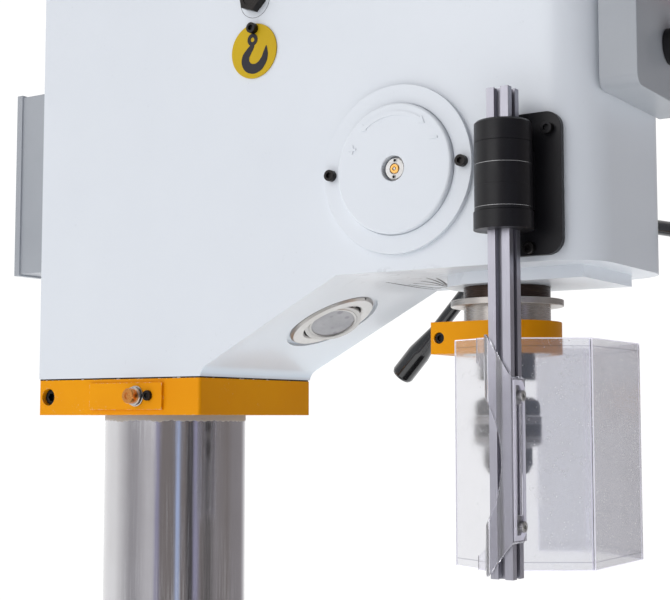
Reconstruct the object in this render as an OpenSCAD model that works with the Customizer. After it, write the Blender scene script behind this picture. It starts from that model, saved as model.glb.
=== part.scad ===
// Pillar drill with a geared head, a rack-lifted table and a swing-away chuck guard.
// Millimetres. The column axis is the Z axis, the floor is z = 0 and the operator stands at -Y.

/* [Base] */
// Width of the base
base_w = 500; // [460:5:560]
// Length of the base from front to rear
base_l = 820; // [780:5:900]
// Height of the base
base_h = 70; // [64:1:90]
// Column axis to the rear edge of the base
base_rear = 190; // [180:1:220]
// Radius of the base's corners
base_corner = 40; // [20:1:60]
// Diameter of the anchor holes
anchor_d = 18; // [14:0.5:24]
// Anchor hole to the sides of the base
anchor_inset = 38; // [34:1:50]
// Width of the T-slots
slot_w = 14; // [12:1:18]
// Depth of a T-slot's neck
slot_neck = 11; // [9:0.5:14]
// Width of a T-slot's foot
slot_foot_w = 24; // [22:1:30]
// Height of a T-slot's foot
slot_foot_h = 9; // [8:0.5:12]
// Distance between the base's two T-slots
base_slot_gap = 200; // [160:5:240]

/* [Column] */
// Diameter of the column
column_d = 150; // [140:1:156]
// Wall of the column tube
column_wall = 12; // [8:0.5:20]
// Diameter of the foot flange
flange_d = 264; // [250:2:290]
// Height of the foot flange with its neck
flange_h = 90; // [70:1:120]
// Diameter of the circle of the flange bolts
flange_pcd = 224; // [218:1:228]
// Height of the head's underside at the column
head_z = 1376; // [1340:1:1420]
// Depth of the column in the head
column_in = 330; // [250:5:335]

/* [Head] */
// Width of the head and of the clamp ring
head_w = 190; // [186:1:210]
// Column axis to the head's rear face, and to the clamp ring's front and rear faces
head_rear = 110; // [104:1:125]
// Height of the head casting
head_h = 454; // [445:1:480]
// Rise of the front underside above the underside at the column
head_rise = 91.6; // [85:0.1:100]
// Small upright lip below the sloping underside
head_lip = 8; // [5:0.5:11]
// Column axis to the upper end of the sloping underside
slope_end = 270; // [260:1:280]
// Column axis to the spindle axis
throat = 397; // [392:1:410]
// Spindle axis to the head's front face
nose_reach = 125; // [110:1:140]
// Radius of the head's front corners
head_corner = 45; // [20:1:60]
// Height of the orange clamp ring
clamp_h = 36.5; // [28:0.5:50]
// Thickness of the gearbox lid
lid_t = 22; // [16:1:30]

/* [Spindle] */
// Diameter of the quill
quill_d = 80; // [78:0.5:84]
// Travel of the quill
quill_travel = 160; // [120:5:165]
// Quill's lower end above the head's underside at the column
quill_low = 18.4; // [10:0.2:30]
// Height of the feed shaft above the head's underside at the column
feed_h = 183; // [178:0.5:190]
// Diameter of the spindle
spindle_d = 30; // [26:0.5:32]
// Diameter of the spindle nose
nose_d = 50; // [44:1:56]
// Diameter of the arbor above the chuck
arbor_d = 25; // [20:0.5:27]
// Diameter of the chuck
chuck_d = 60; // [56:1:66]
// Diameter of the chuck's lower end
chuck_nose_d = 43; // [40:0.5:48]
// Radius of the stop ring on the quill
ring_r = 52; // [49:0.5:56]
// Thickness of the stop ring
ring_t = 5.9; // [4:0.1:8]
// Height of the orange quill collar
collar_h = 29.3; // [24:0.1:34]
// Half width of the orange quill collar
collar_r = 50; // [48:0.5:54]

/* [Feed] */
// Spindle to grip end of a feed lever, from the hub's centre
lever_reach = 240; // [210:1:270]
// Plane of the feed levers from the machine's middle
lever_plane = 180; // [165:1:195]
// Number of feed levers
lever_count = 3; // [2:1:4]
// Direction of the first feed lever below the horizontal, to the rear
lever_angle = 47.5; // [30:0.5:60]
// Diameter of the lever grips
grip_d = 25; // [20:0.5:30]
// Outer diameter of the spring housing's ring
spring_ring_d = 153.6; // [146:0.2:160]
// Diameter of the spring housing
spring_drum_d = 119; // [110:0.5:121]

/* [Guard] */
// Side of the square guard profile
profile_w = 20; // [18:0.5:22]
// Guard post axis left of the machine's middle
guard_x = 128; // [126:0.5:134]
// Guard post axis from the column axis
guard_y = 458; // [452:0.5:464]
// Diameter of the guard's barrel
barrel_d = 48; // [44:0.5:50]
// Thickness of the clear guard screen
screen_t = 3; // [2:0.5:4]
// Height of the guard screen
screen_h = 195.5; // [160:0.5:220]

/* [Table] */
// Width of the table
table_w = 480; // [420:5:560]
// Depth of the table
table_l = 400; // [340:5:410]
// Thickness of the table
table_t = 45; // [38:1:60]
// Height of the table's top at rest
table_z = 980; // [900:5:1000]
// Outer diameter of the table bracket's sleeve
sleeve_d = 200; // [190:1:206]
// Height of the table bracket's sleeve
sleeve_h = 170; // [150:1:190]
// Length of the table crank
crank_l = 150; // [110:1:170]

/* [Lamp] */
// Diameter of the lamp's ring
lamp_d = 90; // [84:0.5:94]
// Diameter of the lamp bulb
bulb_d = 50; // [46:0.5:51]

/* [Clearances] */
// Radial clearance of shafts and sleeves in their bores
run = 0.05; // [0.02:0.01:0.1]
// Gap between plain faces that pass each other
gap = 0.3; // [0.2:0.05:0.5]

/* [Hidden] */
$fn = 64;

// Small overlap that carries a cut past a face
cut = 1;

// Main levels and faces
zt = head_z;
side = head_w / 2;
column_r = column_d / 2;
spindle_y = -throat;
front_y = spindle_y - nose_reach;
nose_z = zt + head_rise;
top_z = zt + head_h;
lid_z = top_z + lid_t;
base_y = base_rear - base_l / 2;
flange_z = base_h + flange_h;

// Bolts and screws
m16_r = 8;
m16_flats = 24;
m16_head = 10;
m6_r = 3;
m6_head_r = 5.2;
m6_head_h = 6;
m6_depth = 14;
washer_t = 3;

// Quill, its rack and the feed pinion
feed_m = 2.5;
feed_teeth = 18;
feed_pr = feed_m * feed_teeth / 2;
quill_r = quill_d / 2;
quill_pitch = quill_r - feed_m;
quill_z = zt + quill_low;
feed_z = zt + feed_h;
feed_y = spindle_y + quill_pitch + feed_pr;
rack_margin = 12;
quill_top = feed_z + quill_travel + rack_margin;
shaft_r = 15;
hub_seat = 15;
arm_r = 6;
arm_short = 30;
grip_l = 130;
grip_neck = 68;
grip_head = 35;
pinion_half = 16;
pinion_pocket_r = feed_pr + feed_m + 2;
bearing_in = sqrt(pow(quill_r, 2) - pow(feed_y - spindle_y - pinion_pocket_r, 2)) + gap;
tooth_slack = 0.24;
teeth_w = 26;

// Gear chamber above the quill
web_t = 14;
chamber_z = quill_top + 2 + web_t;
gear_m = 2.5;
gear_t = 28;
gear_z = chamber_z + 6;
spindle_teeth = 48;
idler_teeth = 40;
motor_teeth = 20;
idler_y = spindle_y + gear_m * (spindle_teeth + idler_teeth) / 2;
motor_y = idler_y + gear_m * (idler_teeth + motor_teeth) / 2;
gear_room = 3.5;
idler_r = 10;
motor_shaft_r = 12;
gear_sleeve_r = 30;
spline_r = spindle_d / 2 + 3;
spline_w = 6;
spline_count = 6;
spindle_top = gear_z + quill_travel + 24;
cap_room = 12;

// Spring housing on the left face
spring_ring_t = 5;
spring_drum_t = 10;
spring_depth = 33;
spring_wall = 5;
spring_hole_r = 11.5;
spring_screw_r = 68.3;
spring_turns = 7;
spring_strip = 1.2;

// Chuck levels below the head's underside at the column
nose_low = zt - 5;
chuck_top = zt - 21;
sleeve_top = zt - 38;
sleeve_low = zt - 65;
chuck_low = zt - 90;
jaw_stick = 3;
core_r = 17;
jaw_r = 12.5;

// Stop ring, collar and depth rod
ring_z = zt + 62.5;
rod_r = 4;
nut_r = 7.5;
rod_x = quill_r + nut_r - 2;
rod_y = spindle_y + 15;
nose_boss_h = 11;
nose_boss_r = norm([rod_x, rod_y - spindle_y]) + rod_r + 3;
nose_boss_in = 25;
tab_r = 13;
collar_rear = 53;
collar_screw_y = spindle_y + 44.5;
collar_screw_z = quill_z + collar_h / 2;

// Lamp in the sloping underside
slope_angle = atan((head_rise - head_lip) / (slope_end - head_rear));
slope_fillet = min(12, head_lip * tan(45 + slope_angle / 2));
slope_foot = slope_fillet / tan(45 + slope_angle / 2);
lamp_y = -203;
lamp_z = zt + head_lip + (-lamp_y - head_rear) * tan(slope_angle);
lamp_r = lamp_d / 2;
lamp_seat_r = lamp_r + 4.5;
lamp_seat_t = 3;
lamp_ring_t = 4;
bulb_r = bulb_d / 2;
gimbal_r = bulb_r + 4;
lamp_open_r = gimbal_r + 2;
lamp_skirt_t = 2.2;
lamp_skirt_h = 12;
gimbal_h = 7;
gimbal_sink = -1.8;
// Tilt of the lamp at rest, its face to the left
lamp_turn = 15;
lamp_hole = 46;

// Lifting points and sign
lift_y = -175;
lift_z = zt + 368;
lift_seat_r = 15.5;
lift_seat_t = 1;
sign_z = zt + 316;
sign_r = 27;
sign_t = 1.5;
sign_screw_z = sign_z + 22;

// Guard post
post_x = -guard_x;
post_y = -guard_y;
profile_low = zt - 169;
profile_top = zt + 234;
barrel_low = zt + 115;
barrel_top = zt + 206;
barrel_cap_h = 18;
barrel_foot_h = 15;
rotor_r = profile_w * sqrt(2) / 2 + 2.9;
screen_low = zt - 167;
screen_top = screen_low + screen_h;
mount_t = 6;
mount_w = 58;
mount_low = zt + 96;
mount_top = zt + 217;
mount_y = post_y - 11;

// Head clamp screws
clamp_screw_y = -24;
clamp_screw_z = zt + 111;
grip_x = sqrt(pow(column_r, 2) - pow(abs(clamp_screw_y) - 6, 2)) + gap;

// Table lift
lift_m = 3;
lift_teeth = 18;
lift_pr = lift_m * lift_teeth / 2;
rack_w = 24;
rack_back = column_r + gap;
rack_pitch_y = rack_back + 8 + 1.25 * lift_m;
rack_low = flange_z + gap;
rack_ring_z = table_z + 120;
rack_ring_h = 26;
rack_top = rack_ring_z + 13;
crank_y = rack_pitch_y + lift_pr;
sleeve_top_z = table_z - 20;
sleeve_low_z = sleeve_top_z - sleeve_h;
crank_z = sleeve_low_z + sleeve_h / 2;
crank_shaft_r = 9;
crank_half = 13;
crank_pocket_r = lift_pr + lift_m + 1.5;
crank_end = sleeve_d / 2 + 4;
arm_t = 12;
table_low = table_z - table_t;
pad_t = 20;

// Motor on the lid
motor_r = 72;
motor_l = 190;
motor_foot_t = 14;
motor_z = lid_z + motor_foot_t;
fan_l = 62;

// Control panel on the front face
panel_w = 150;
panel_t = 34;
panel_low = zt + 236;
panel_h = 170;
panel_y = front_y - panel_t;
button_bore_r = 6;
button_depth = 16;

// Electrical box on the rear face
box_w = 140;
box_t = 66;
box_low = zt + 120;
box_h = 200;
switch_z = box_low + box_h - 45;

// Involute gear outline, with a small backlash
function involute(a) = tan(a) * 180 / PI - a;
function tooth_half(r, teeth, m) =
    let (rp = teeth * m / 2, rb = rp * cos(20))
    90 / teeth - tooth_slack / 2 / rp * 180 / PI + involute(20)
    - (r > rb ? involute(acos(rb / r)) : 0);
function gear_radii(teeth, m) =
    let (rp = teeth * m / 2, rf = rp - 1.25 * m)
    [rf, max(rf + 0.3 * m, rp * cos(20)), rp, rp + 0.55 * m, rp + m];
function gear_points(teeth, m) =
    let (radii = gear_radii(teeth, m), last = len(radii) - 1)
    [for (i = [0 : teeth - 1])
        for (k = [-last - 1 : last])
            let (r = radii[k < 0 ? k + last + 1 : last - k],
                 h = tooth_half(r, teeth, m),
                 a = i * 360 / teeth + (k < 0 ? -h : h))
            [r * cos(a), r * sin(a)]];

// Rack outline along Z with a gap at z = 0, as points of [y, z]
function rack_points(first, last, m, tip, root) =
    let (p = PI * m, half = p / 4 + tooth_slack / 2, slope = tan(20))
    [for (i = [first : last])
        for (c = [[tip, -half - (tip) * slope], [root, -half - root * slope],
                  [root, half + root * slope], [tip, half + tip * slope]])
            [c[0], i * p + c[1]]];

// Spiral strip outline
function spiral_points(r0, r1, turns, t) =
    let (n = turns * 24, step = (r1 - t - r0) / n)
    concat(
        [for (i = [0 : n]) let (r = r0 + step * i) [r * cos(i * 15), r * sin(i * 15)]],
        [for (i = [n : -1 : 0]) let (r = r0 + t + step * i) [r * cos(i * 15), r * sin(i * 15)]]);

module rounded_box(w, l, h, r) {
    translate([-w / 2 + r, -l / 2, 0]) cube([w - 2 * r, l, h]);
    translate([-w / 2, -l / 2 + r, 0]) cube([w, l - 2 * r, h]);
    for (x = [-1, 1], y = [-1, 1])
        translate([x * (w / 2 - r), y * (l / 2 - r), 0]) cylinder(r = r, h = h);
}

// Places children with their local Z out of the left, right or front face
module on_left(y, z, x = side) {
    translate([-x, y, z]) rotate([0, -90, 0]) children();
}
module on_right(y, z, x = side) {
    translate([x, y, z]) rotate([0, 90, 0]) children();
}
module on_front(x, z, y = front_y) {
    translate([x, y, z]) rotate([90, 0, 0]) children();
}
// Extrudes an outline of [y, z] points along X, centred on the machine's middle
module across(w) {
    translate([-w / 2, 0, 0]) rotate([90, 0, 90]) linear_extrude(w) children();
}
// Places children at the lamp, with local Z into the head
module at_lamp() {
    translate([0, lamp_y, lamp_z]) rotate([-slope_angle, 0, 0]) children();
}

module hex_bolt(length) {
    difference() {
        union() {
            cylinder(r = m16_flats / 2 / cos(30), h = m16_head, $fn = 6);
            translate([0, 0, -length]) cylinder(r = m16_r, h = length + cut);
        }
        translate([0, 0, m16_head - 1]) cylinder(r = m16_r, h = 2);
    }
}
module socket_screw(r, head_r, head_h, length) {
    difference() {
        union() {
            cylinder(r = head_r, h = head_h);
            translate([0, 0, -length]) cylinder(r = r, h = length + cut);
        }
        translate([0, 0, head_h / 2]) cylinder(r = head_r * 0.56, h = head_h, $fn = 6);
    }
}
module m6_screw() {
    socket_screw(m6_r, m6_head_r, m6_head_h, m6_depth - 2);
}
module m6_hole() {
    translate([0, 0, -m6_depth]) cylinder(r = m6_r + run, h = m6_depth + cut);
}

module t_slot(length) {
    translate([-length / 2, 0, 0]) rotate([90, 0, 90]) linear_extrude(length)
        union() {
            translate([-slot_w / 2, -slot_neck - slot_foot_h / 2])
                square([slot_w, slot_neck + slot_foot_h / 2 + cut]);
            translate([-slot_foot_w / 2, -slot_neck - slot_foot_h])
                square([slot_foot_w, slot_foot_h]);
        }
}

module flange_bolt_places() {
    for (a = [45 : 90 : 315])
        rotate([0, 0, a]) translate([flange_pcd / 2, 0, 0]) children();
}

module anchor_places() {
    for (x = [-1, 1], y = [-1, 1])
        translate([x * (base_w / 2 - anchor_inset), base_y + y * (base_l / 2 - anchor_inset), 0])
            children();
}

bolt_grip = 28;
bolt_in = 26;
core_top = 34;
core_w = 190;
core_l = 120;
core_rows = 3;
base_slot_l = base_l - base_rear - flange_d / 2 - 20;

module base() {
    color("gainsboro")
    difference() {
        translate([0, base_y, 0]) rounded_box(base_w, base_l, base_h, base_corner);
        for (x = [-1, 1])
            translate([x * base_slot_gap / 2, base_rear - base_l + base_slot_l / 2 - cut, base_h])
                rotate([0, 0, 90]) t_slot(base_slot_l);
        anchor_places() translate([0, 0, -cut]) cylinder(r = anchor_d / 2, h = base_h + 2 * cut);
        translate([0, 0, base_h - bolt_in - 2]) flange_bolt_places()
            cylinder(r = m16_r + run, h = bolt_in + 2 + cut);
        for (x = [-1, 1], row = [0 : core_rows - 1])
            translate([x * (core_w / 2 + 12), base_rear - base_l + 70 + core_l / 2
                    + row * (core_l + 20), -cut])
                translate([-core_w / 2, -core_l / 2, 0])
                    cube([core_w, core_l, base_h - core_top + cut]);
    }
}

module column_flange() {
    bore = column_r + run;
    color("gainsboro")
    difference() {
        translate([0, 0, base_h]) rotate_extrude()
            polygon([[bore, 0], [flange_d / 2 - 3, 0], [flange_d / 2, 3],
                     [flange_d / 2, bolt_grip - 3], [flange_d / 2 - 3, bolt_grip],
                     [column_r + 22, bolt_grip + 3], [column_r + 19, bolt_grip + 14],
                     [column_r + 19, flange_h], [bore, flange_h]]);
        translate([0, 0, base_h - cut]) flange_bolt_places()
            cylinder(r = m16_r + 1, h = bolt_grip + 2 * cut);
        translate([0, 0, base_h + bolt_grip - 1]) flange_bolt_places()
            cylinder(r = m16_flats / 2 / cos(30) + 2, h = flange_h);
    }
}

module column() {
    color("silver")
    translate([0, 0, base_h]) difference() {
        cylinder(r = column_r, h = zt + column_in - base_h);
        translate([0, 0, -cut])
            cylinder(r = column_r - column_wall, h = zt + column_in - base_h + 2 * cut);
    }
}

module hex_bolts() {
    color("dimgray") {
        translate([0, 0, base_h + bolt_grip - 1]) flange_bolt_places()
            hex_bolt(bolt_grip - 1 + bolt_in);
        on_left(lift_y, lift_z, side - lift_seat_t) rotate([0, 0, 12]) hex_bolt(30);
        on_right(lift_y, lift_z, side - lift_seat_t) rotate([0, 0, 12]) hex_bolt(30);
    }
}

// Plan outline of the head and its lid
module head_plan(h) {
    r = head_corner;
    translate([-side, front_y + r, 0]) cube([head_w, head_rear - front_y - r, h]);
    translate([-side + r, front_y, 0]) cube([head_w - 2 * r, r + cut, h]);
    for (x = [-1, 1])
        translate([x * (side - r), front_y + r, 0]) cylinder(r = r, h = h);
}

module lid_screw_places() {
    for (x = [-1, 1], y = [head_rear - 14, (head_rear + front_y) / 2 + 40, front_y + head_corner])
        translate([x * (side - 14), y, lid_z]) children();
}

module guard_screw_places() {
    for (place = [[mount_y, mount_low + 6.5], [mount_y - 18, mount_top - 15]])
        translate([-side - mount_t, place[0], place[1]]) rotate([0, -90, 0]) children();
}

// Boss round the quill, which runs on to the front
module nose_boss() {
    translate([0, spindle_y, nose_z - nose_boss_h]) cylinder(r = nose_boss_r, h = nose_boss_h + cut);
    translate([4 - nose_boss_r, front_y + nose_boss_in, nose_z - nose_boss_h])
        cube([2 * nose_boss_r - 8, nose_reach - nose_boss_in, nose_boss_h + cut]);
}

module head_casting() {
    color("whitesmoke")
    difference() {
        union() {
            intersection() {
                across(head_w)
                    polygon(concat(
                        [[head_rear, zt], [-head_rear, zt]],
                        [for (a = [0 : 10]) let (t = a / 10 * (90 - slope_angle))
                            [-head_rear - slope_fillet * (1 - cos(t)),
                             zt + head_lip - slope_foot + slope_fillet * sin(t)]],
                        [[-slope_end, nose_z], [front_y, nose_z], [front_y, top_z],
                         [head_rear, top_z]]));
                translate([0, 0, zt - cut]) head_plan(head_h + 2 * cut);
            }
            nose_boss();
        }
        translate([0, 0, zt - cut]) cylinder(r = column_r + run, h = column_in + 2 + cut);
        // Quill bore, web and gear chamber
        translate([0, spindle_y, nose_z - nose_boss_h - cut])
            cylinder(r = quill_r + run, h = quill_top + 2 - nose_z + nose_boss_h + cut);
        translate([0, spindle_y, nose_z]) cylinder(r = gear_sleeve_r + run, h = top_z - nose_z);
        translate([0, spindle_y, chamber_z])
            cylinder(r = gear_m * (spindle_teeth / 2 + 1) + gear_room, h = top_z);
        translate([0, idler_y, chamber_z])
            cylinder(r = gear_m * (idler_teeth / 2 + 1) + gear_room - 2, h = top_z);
        translate([0, motor_y, chamber_z])
            cylinder(r = gear_m * (motor_teeth / 2 + 1) + gear_room, h = top_z);
        translate([0, idler_y, chamber_z - 20]) cylinder(r = idler_r + run, h = 20 + cut);
        translate([0, motor_y, chamber_z - 14]) cylinder(r = motor_shaft_r + run, h = 14 + cut);
        // Feed shaft, its bearing and pinion pocket, and the return spring's pocket
        on_right(feed_y, feed_z, -side - cut) cylinder(r = shaft_r + run, h = head_w);
        on_right(feed_y, feed_z, -pinion_half) cylinder(r = pinion_pocket_r, h = side + 2 * pinion_half);
        on_left(feed_y, feed_z, side - spring_depth)
            cylinder(r = spring_drum_d / 2 + gap, h = spring_depth + cut);
        for (y = [-1, 1]) on_left(feed_y + y * spring_screw_r, feed_z) m6_hole();
        // Lamp seat
        at_lamp() translate([0, 0, -20]) cylinder(r = lamp_seat_r, h = 20 + lamp_seat_t);
        at_lamp() translate([0, 0, -20])
            cylinder(r = lamp_open_r + lamp_skirt_t + gap, h = 20 + lamp_hole);
        // Lifting points, sign, clamp screws and guard screws
        for (x = [0, 1]) mirror([x, 0, 0]) {
            on_left(lift_y, lift_z, side - lift_seat_t) {
                cylinder(r = lift_seat_r, h = 5);
                translate([0, 0, -34]) cylinder(r = m16_r + run, h = 40);
            }
            on_left(clamp_screw_y, clamp_screw_z, side - 12) cylinder(r = 10.5, h = 20);
            on_left(clamp_screw_y, clamp_screw_z, 0) cylinder(r = 6 + run, h = side);
        }
        on_left(lift_y, sign_screw_z) m6_hole();
        guard_screw_places() translate([0, 0, -mount_t]) m6_hole();
        // Depth rod's hole
        translate([rod_x, rod_y, nose_z - nose_boss_h - cut])
            cylinder(r = rod_r + gap, h = nose_boss_h + quill_travel + 40);
        translate([0, 0, -lid_t]) lid_screw_places() m6_hole();
    }
}

clamp_pad_t = 3;
clamp_pad_front = -63.5;
clamp_pad_rear = 34;
stud_y = -30;
stud_z = zt - 17.5;
clamp_small_y = -46;

module column_clamp() {
    color("orange")
    difference() {
        union() {
            translate([0, 0, zt - clamp_h]) rounded_box(head_w, 2 * head_rear, clamp_h, 3);
            for (x = [0, 1]) mirror([x, 0, 0])
                translate([-side - clamp_pad_t, clamp_pad_front, zt - clamp_h + 5.5])
                    cube([clamp_pad_t + cut, clamp_pad_rear - clamp_pad_front, clamp_h - 9.5]);
        }
        translate([0, 0, zt - clamp_h - cut]) cylinder(r = column_r + run, h = clamp_h + 2 * cut);
        translate([-2.5, 0, zt - clamp_h - cut]) cube([5, head_rear + cut, clamp_h + 2 * cut]);
        // Bores for the two studs, and the clamping screw across the slit
        for (x = [0, 1]) mirror([x, 0, 0]) {
            on_left(stud_y, stud_z, 0) cylinder(r = 5 + run, h = side + 2 * clamp_pad_t);
            on_left(clamp_small_y, stud_z + 0.5, side + clamp_pad_t) m6_hole();
        }
        on_left(head_rear - 14, stud_z, side + cut) rotate([180, 0, 0])
            cylinder(r = 5 + run, h = head_w + 2 * cut);
        on_left(head_rear - 14, stud_z, side - 12) cylinder(r = 9, h = 20);
    }
}

module clamp_fasteners() {
    color("silver") {
        for (x = [0, 1]) mirror([x, 0, 0]) {
            // Stud with its washers and nut
            on_left(stud_y, stud_z, side + clamp_pad_t) {
                difference() {
                    union() {
                        translate([0, 0, -22]) cylinder(r = 5, h = 36);
                        cylinder(r = 10, h = 2);
                        translate([0, 0, 2]) cylinder(r = 8.5, h = 1.2);
                        translate([0, 0, 3.2]) cylinder(r = 9.2, h = 7, $fn = 6);
                    }
                    translate([0, 0, 12]) cylinder(r = 2.2, h = 4, $fn = 6);
                }
            }
            on_left(clamp_small_y, stud_z + 0.5, side + clamp_pad_t)
                socket_screw(m6_r, m6_head_r, 3, m6_depth - 2);
            // Set screw that grips the column through the head
            on_left(clamp_screw_y, clamp_screw_z, side - 12)
                difference() {
                    translate([0, 0, 12 + grip_x - side]) cylinder(r = 6, h = side - 12 - grip_x);
                    translate([0, 0, -6]) cylinder(r = 3.4, h = 8, $fn = 6);
                }
        }
        // Screw that closes the slit
        on_left(head_rear - 14, stud_z, side - 12)
            socket_screw(5, 8.2, 8, head_w - 30);
    }
}

module gearbox_lid() {
    color("whitesmoke")
    difference() {
        translate([0, 0, top_z]) head_plan(lid_t);
        translate([0, spindle_y, top_z - cut]) cylinder(r = gear_sleeve_r + run, h = lid_t + 2 * cut);
        translate([0, idler_y, top_z - cut]) cylinder(r = idler_r + run, h = 14 + cut);
        translate([0, motor_y, top_z - cut]) cylinder(r = motor_shaft_r + 2, h = lid_t + 2 * cut);
        lid_screw_places() translate([0, 0, -lid_t - cut])
            cylinder(r = m6_r + 0.3, h = lid_t + 2 * cut);
    }
}

module head_screws() {
    color("black") {
        for (y = [-1, 1]) on_left(feed_y + y * spring_screw_r, feed_z, side + spring_ring_t) m6_screw();
        on_left(lift_y, sign_screw_z, side + sign_t) m6_screw();
        guard_screw_places() m6_screw();
        lid_screw_places() socket_screw(m6_r, m6_head_r, m6_head_h, lid_t + 10);
    }
}

fin_count = 32;
fin_w = 2.6;

module motor() {
    color("lightslategray")
    translate([0, motor_y, lid_z]) difference() {
        union() {
            cylinder(r = motor_r + 10, h = motor_foot_t);
            linear_extrude(motor_foot_t + motor_l) union() {
                circle(r = motor_r - 8);
                for (i = [0 : fin_count - 1]) rotate([0, 0, (i + 0.5) * 360 / fin_count])
                    translate([0, -fin_w / 2]) square([motor_r, fin_w]);
            }
            translate([0, 0, motor_foot_t + motor_l - 12]) cylinder(r = motor_r, h = 12);
        }
        translate([0, 0, -cut]) cylinder(r = motor_shaft_r + 2, h = 60);
        translate([0, 0, 50]) cylinder(r = motor_shaft_r + run, h = 46);
    }
}

module motor_fan_cover() {
    color("dimgray")
    translate([0, motor_y, motor_z + motor_l]) difference() {
        rotate_extrude() polygon([[0, 0], [motor_r + 2, 0], [motor_r + 2, fan_l - 12],
                                  [motor_r - 8, fan_l], [0, fan_l]]);
        for (i = [0 : 11]) rotate([0, 0, i * 30])
            translate([24, -2.5, fan_l - 10]) cube([30, 5, 12]);
    }
}

terminal_w = 84;

module terminal_box() {
    color("lightslategray")
    translate([0, motor_y + motor_r - 9, motor_z + 60]) difference() {
        union() {
            translate([-terminal_w / 2, 4, 0]) cube([terminal_w, 36, 90]);
            translate([-terminal_w / 2 - 3, 40, -3]) cube([terminal_w + 6, 8, 96]);
        }
        translate([0, -motor_r + 9, -10]) cylinder(r = motor_r + gap, h = 120);
    }
}

module spindle_cap() {
    r = gear_sleeve_r + 6;
    h = spindle_top + cap_room - lid_z;
    color("dimgray")
    translate([0, spindle_y, lid_z]) rotate_extrude()
        polygon([[r, 0], [r + 14, 0], [r + 14, 6], [r + 4, 6], [r + 4, h], [r, h + 4], [0, h + 4],
                 [0, h], [r, h]]);
}

module spring_housing_ring() {
    color("whitesmoke")
    on_left(feed_y, feed_z) difference() {
        cylinder(r = spring_ring_d / 2, h = spring_ring_t);
        translate([0, 0, -cut]) cylinder(r = spring_drum_d / 2 + gap, h = spring_ring_t + 2 * cut);
        for (y = [-1, 1]) translate([0, y * spring_screw_r, -cut])
            cylinder(r = m6_r + gap, h = spring_ring_t + 2 * cut);
    }
}

module spring_housing() {
    r = spring_drum_d / 2;
    color("whitesmoke")
    on_left(feed_y, feed_z, side - spring_depth) rotate_extrude()
        polygon([[r - spring_wall, 0], [r, 0], [r, spring_depth + spring_drum_t - 1.5],
                 [r - 1.5, spring_depth + spring_drum_t],
                 [spring_hole_r, spring_depth + spring_drum_t],
                 [spring_hole_r, spring_depth], [r - spring_wall, spring_depth]]);
}

module return_spring() {
    color("dimgray")
    on_left(feed_y, feed_z, side - spring_depth) translate([0, 0, 4])
        linear_extrude(spring_depth - 8)
            polygon(spiral_points(shaft_r + 0.4, spring_drum_d / 2 - spring_wall - 0.1,
                                  spring_turns, spring_strip));
}

bearing_flange_t = 8;

module feed_bearing() {
    color("silver")
    on_right(feed_y, feed_z, 0) difference() {
        union() {
            translate([0, 0, bearing_in]) cylinder(r = pinion_pocket_r - run, h = side - bearing_in + cut);
            translate([0, 0, side]) cylinder(r = pinion_pocket_r + 15, h = bearing_flange_t);
        }
        cylinder(r = shaft_r + run, h = side + bearing_flange_t + cut);
    }
}

module lamp_ring() {
    color("tan")
    at_lamp() difference() {
        union() {
            translate([0, 0, lamp_seat_t - lamp_ring_t]) rotate_extrude()
                polygon([[lamp_open_r, lamp_ring_t], [lamp_open_r, 1.5], [lamp_open_r + 1.5, 0],
                         [lamp_r - 2, 0], [lamp_r, 2], [lamp_r, lamp_ring_t]]);
            difference() {
                translate([0, 0, lamp_seat_t - cut])
                    cylinder(r = lamp_open_r + lamp_skirt_t, h = lamp_skirt_h);
                translate([0, 0, -cut]) cylinder(r = lamp_open_r, h = lamp_skirt_h + lamp_seat_t + cut);
            }
        }
        translate([0, 0, lamp_seat_t + gimbal_sink]) rotate([90, 0, 0]) translate([0, 0, -lamp_r])
            cylinder(r = 1.3 + run, h = 2 * lamp_r);
    }
}

module lifting_sign() {
    color("gold")
    on_left(lift_y, sign_z) difference() {
        cylinder(r = sign_r, h = sign_t);
        translate([sign_screw_z - sign_z, 0, -cut]) cylinder(r = m6_r + gap, h = sign_t + 2 * cut);
    }
}

module guard_mount() {
    h = mount_top - mount_low;
    color("black")
    difference() {
        translate([-side, mount_y, (mount_low + mount_top) / 2]) rotate([0, -90, 0])
            rounded_box(h, mount_w, mount_t, 14);
        guard_screw_places() translate([0, 0, -mount_t - cut])
            cylinder(r = m6_r + gap, h = mount_t + 2 * cut);
    }
}

barrel_mid_low = barrel_low + barrel_foot_h + gap;
barrel_mid_top = barrel_top - barrel_cap_h - gap;
groove = 1.2;
groove_pitch = 17;

module guard_barrel() {
    h = barrel_mid_top - barrel_mid_low;
    r = barrel_d / 2;
    color("black")
    difference() {
        union() {
            translate([post_x, post_y, barrel_mid_low]) cylinder(r = r, h = h);
            translate([post_x, post_y - 16, barrel_mid_low + 4])
                cube([-side - mount_t - post_x, 32, h - 8]);
        }
        translate([post_x, post_y, barrel_mid_low - cut]) cylinder(r = rotor_r + run, h = h + 2 * cut);
        for (i = [1 : 3])
            translate([post_x, post_y, barrel_mid_top - i * groove_pitch]) rotate_extrude()
                polygon([[r + 1, -groove], [r + 1, groove], [r - groove, 0]]);
    }
}

module control_panel() {
    color("lightgray")
    difference() {
        translate([0, front_y, panel_low + panel_h / 2]) rotate([90, 0, 0])
            rounded_box(panel_w, panel_h, panel_t, 10);
        for (place = [start_at, stop_at, estop_at, knob_at])
            on_front(place[0], place[1], panel_y) translate([0, 0, -button_depth])
                cylinder(r = button_bore_r + run, h = button_depth + cut);
    }
}

start_at = [-45, panel_low + 120];
stop_at = [0, panel_low + 120];
estop_at = [45, panel_low + 120];
knob_at = [0, panel_low + 48];

module button(cap_r, cap_h, lift, depth) {
    translate([0, 0, -depth]) cylinder(r = button_bore_r, h = depth + lift + cut);
    translate([0, 0, lift]) rotate_extrude()
        polygon([[0, 0], [cap_r, 0], [cap_r, cap_h - 1.5], [cap_r - 1.5, cap_h], [0, cap_h]]);
}

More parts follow.
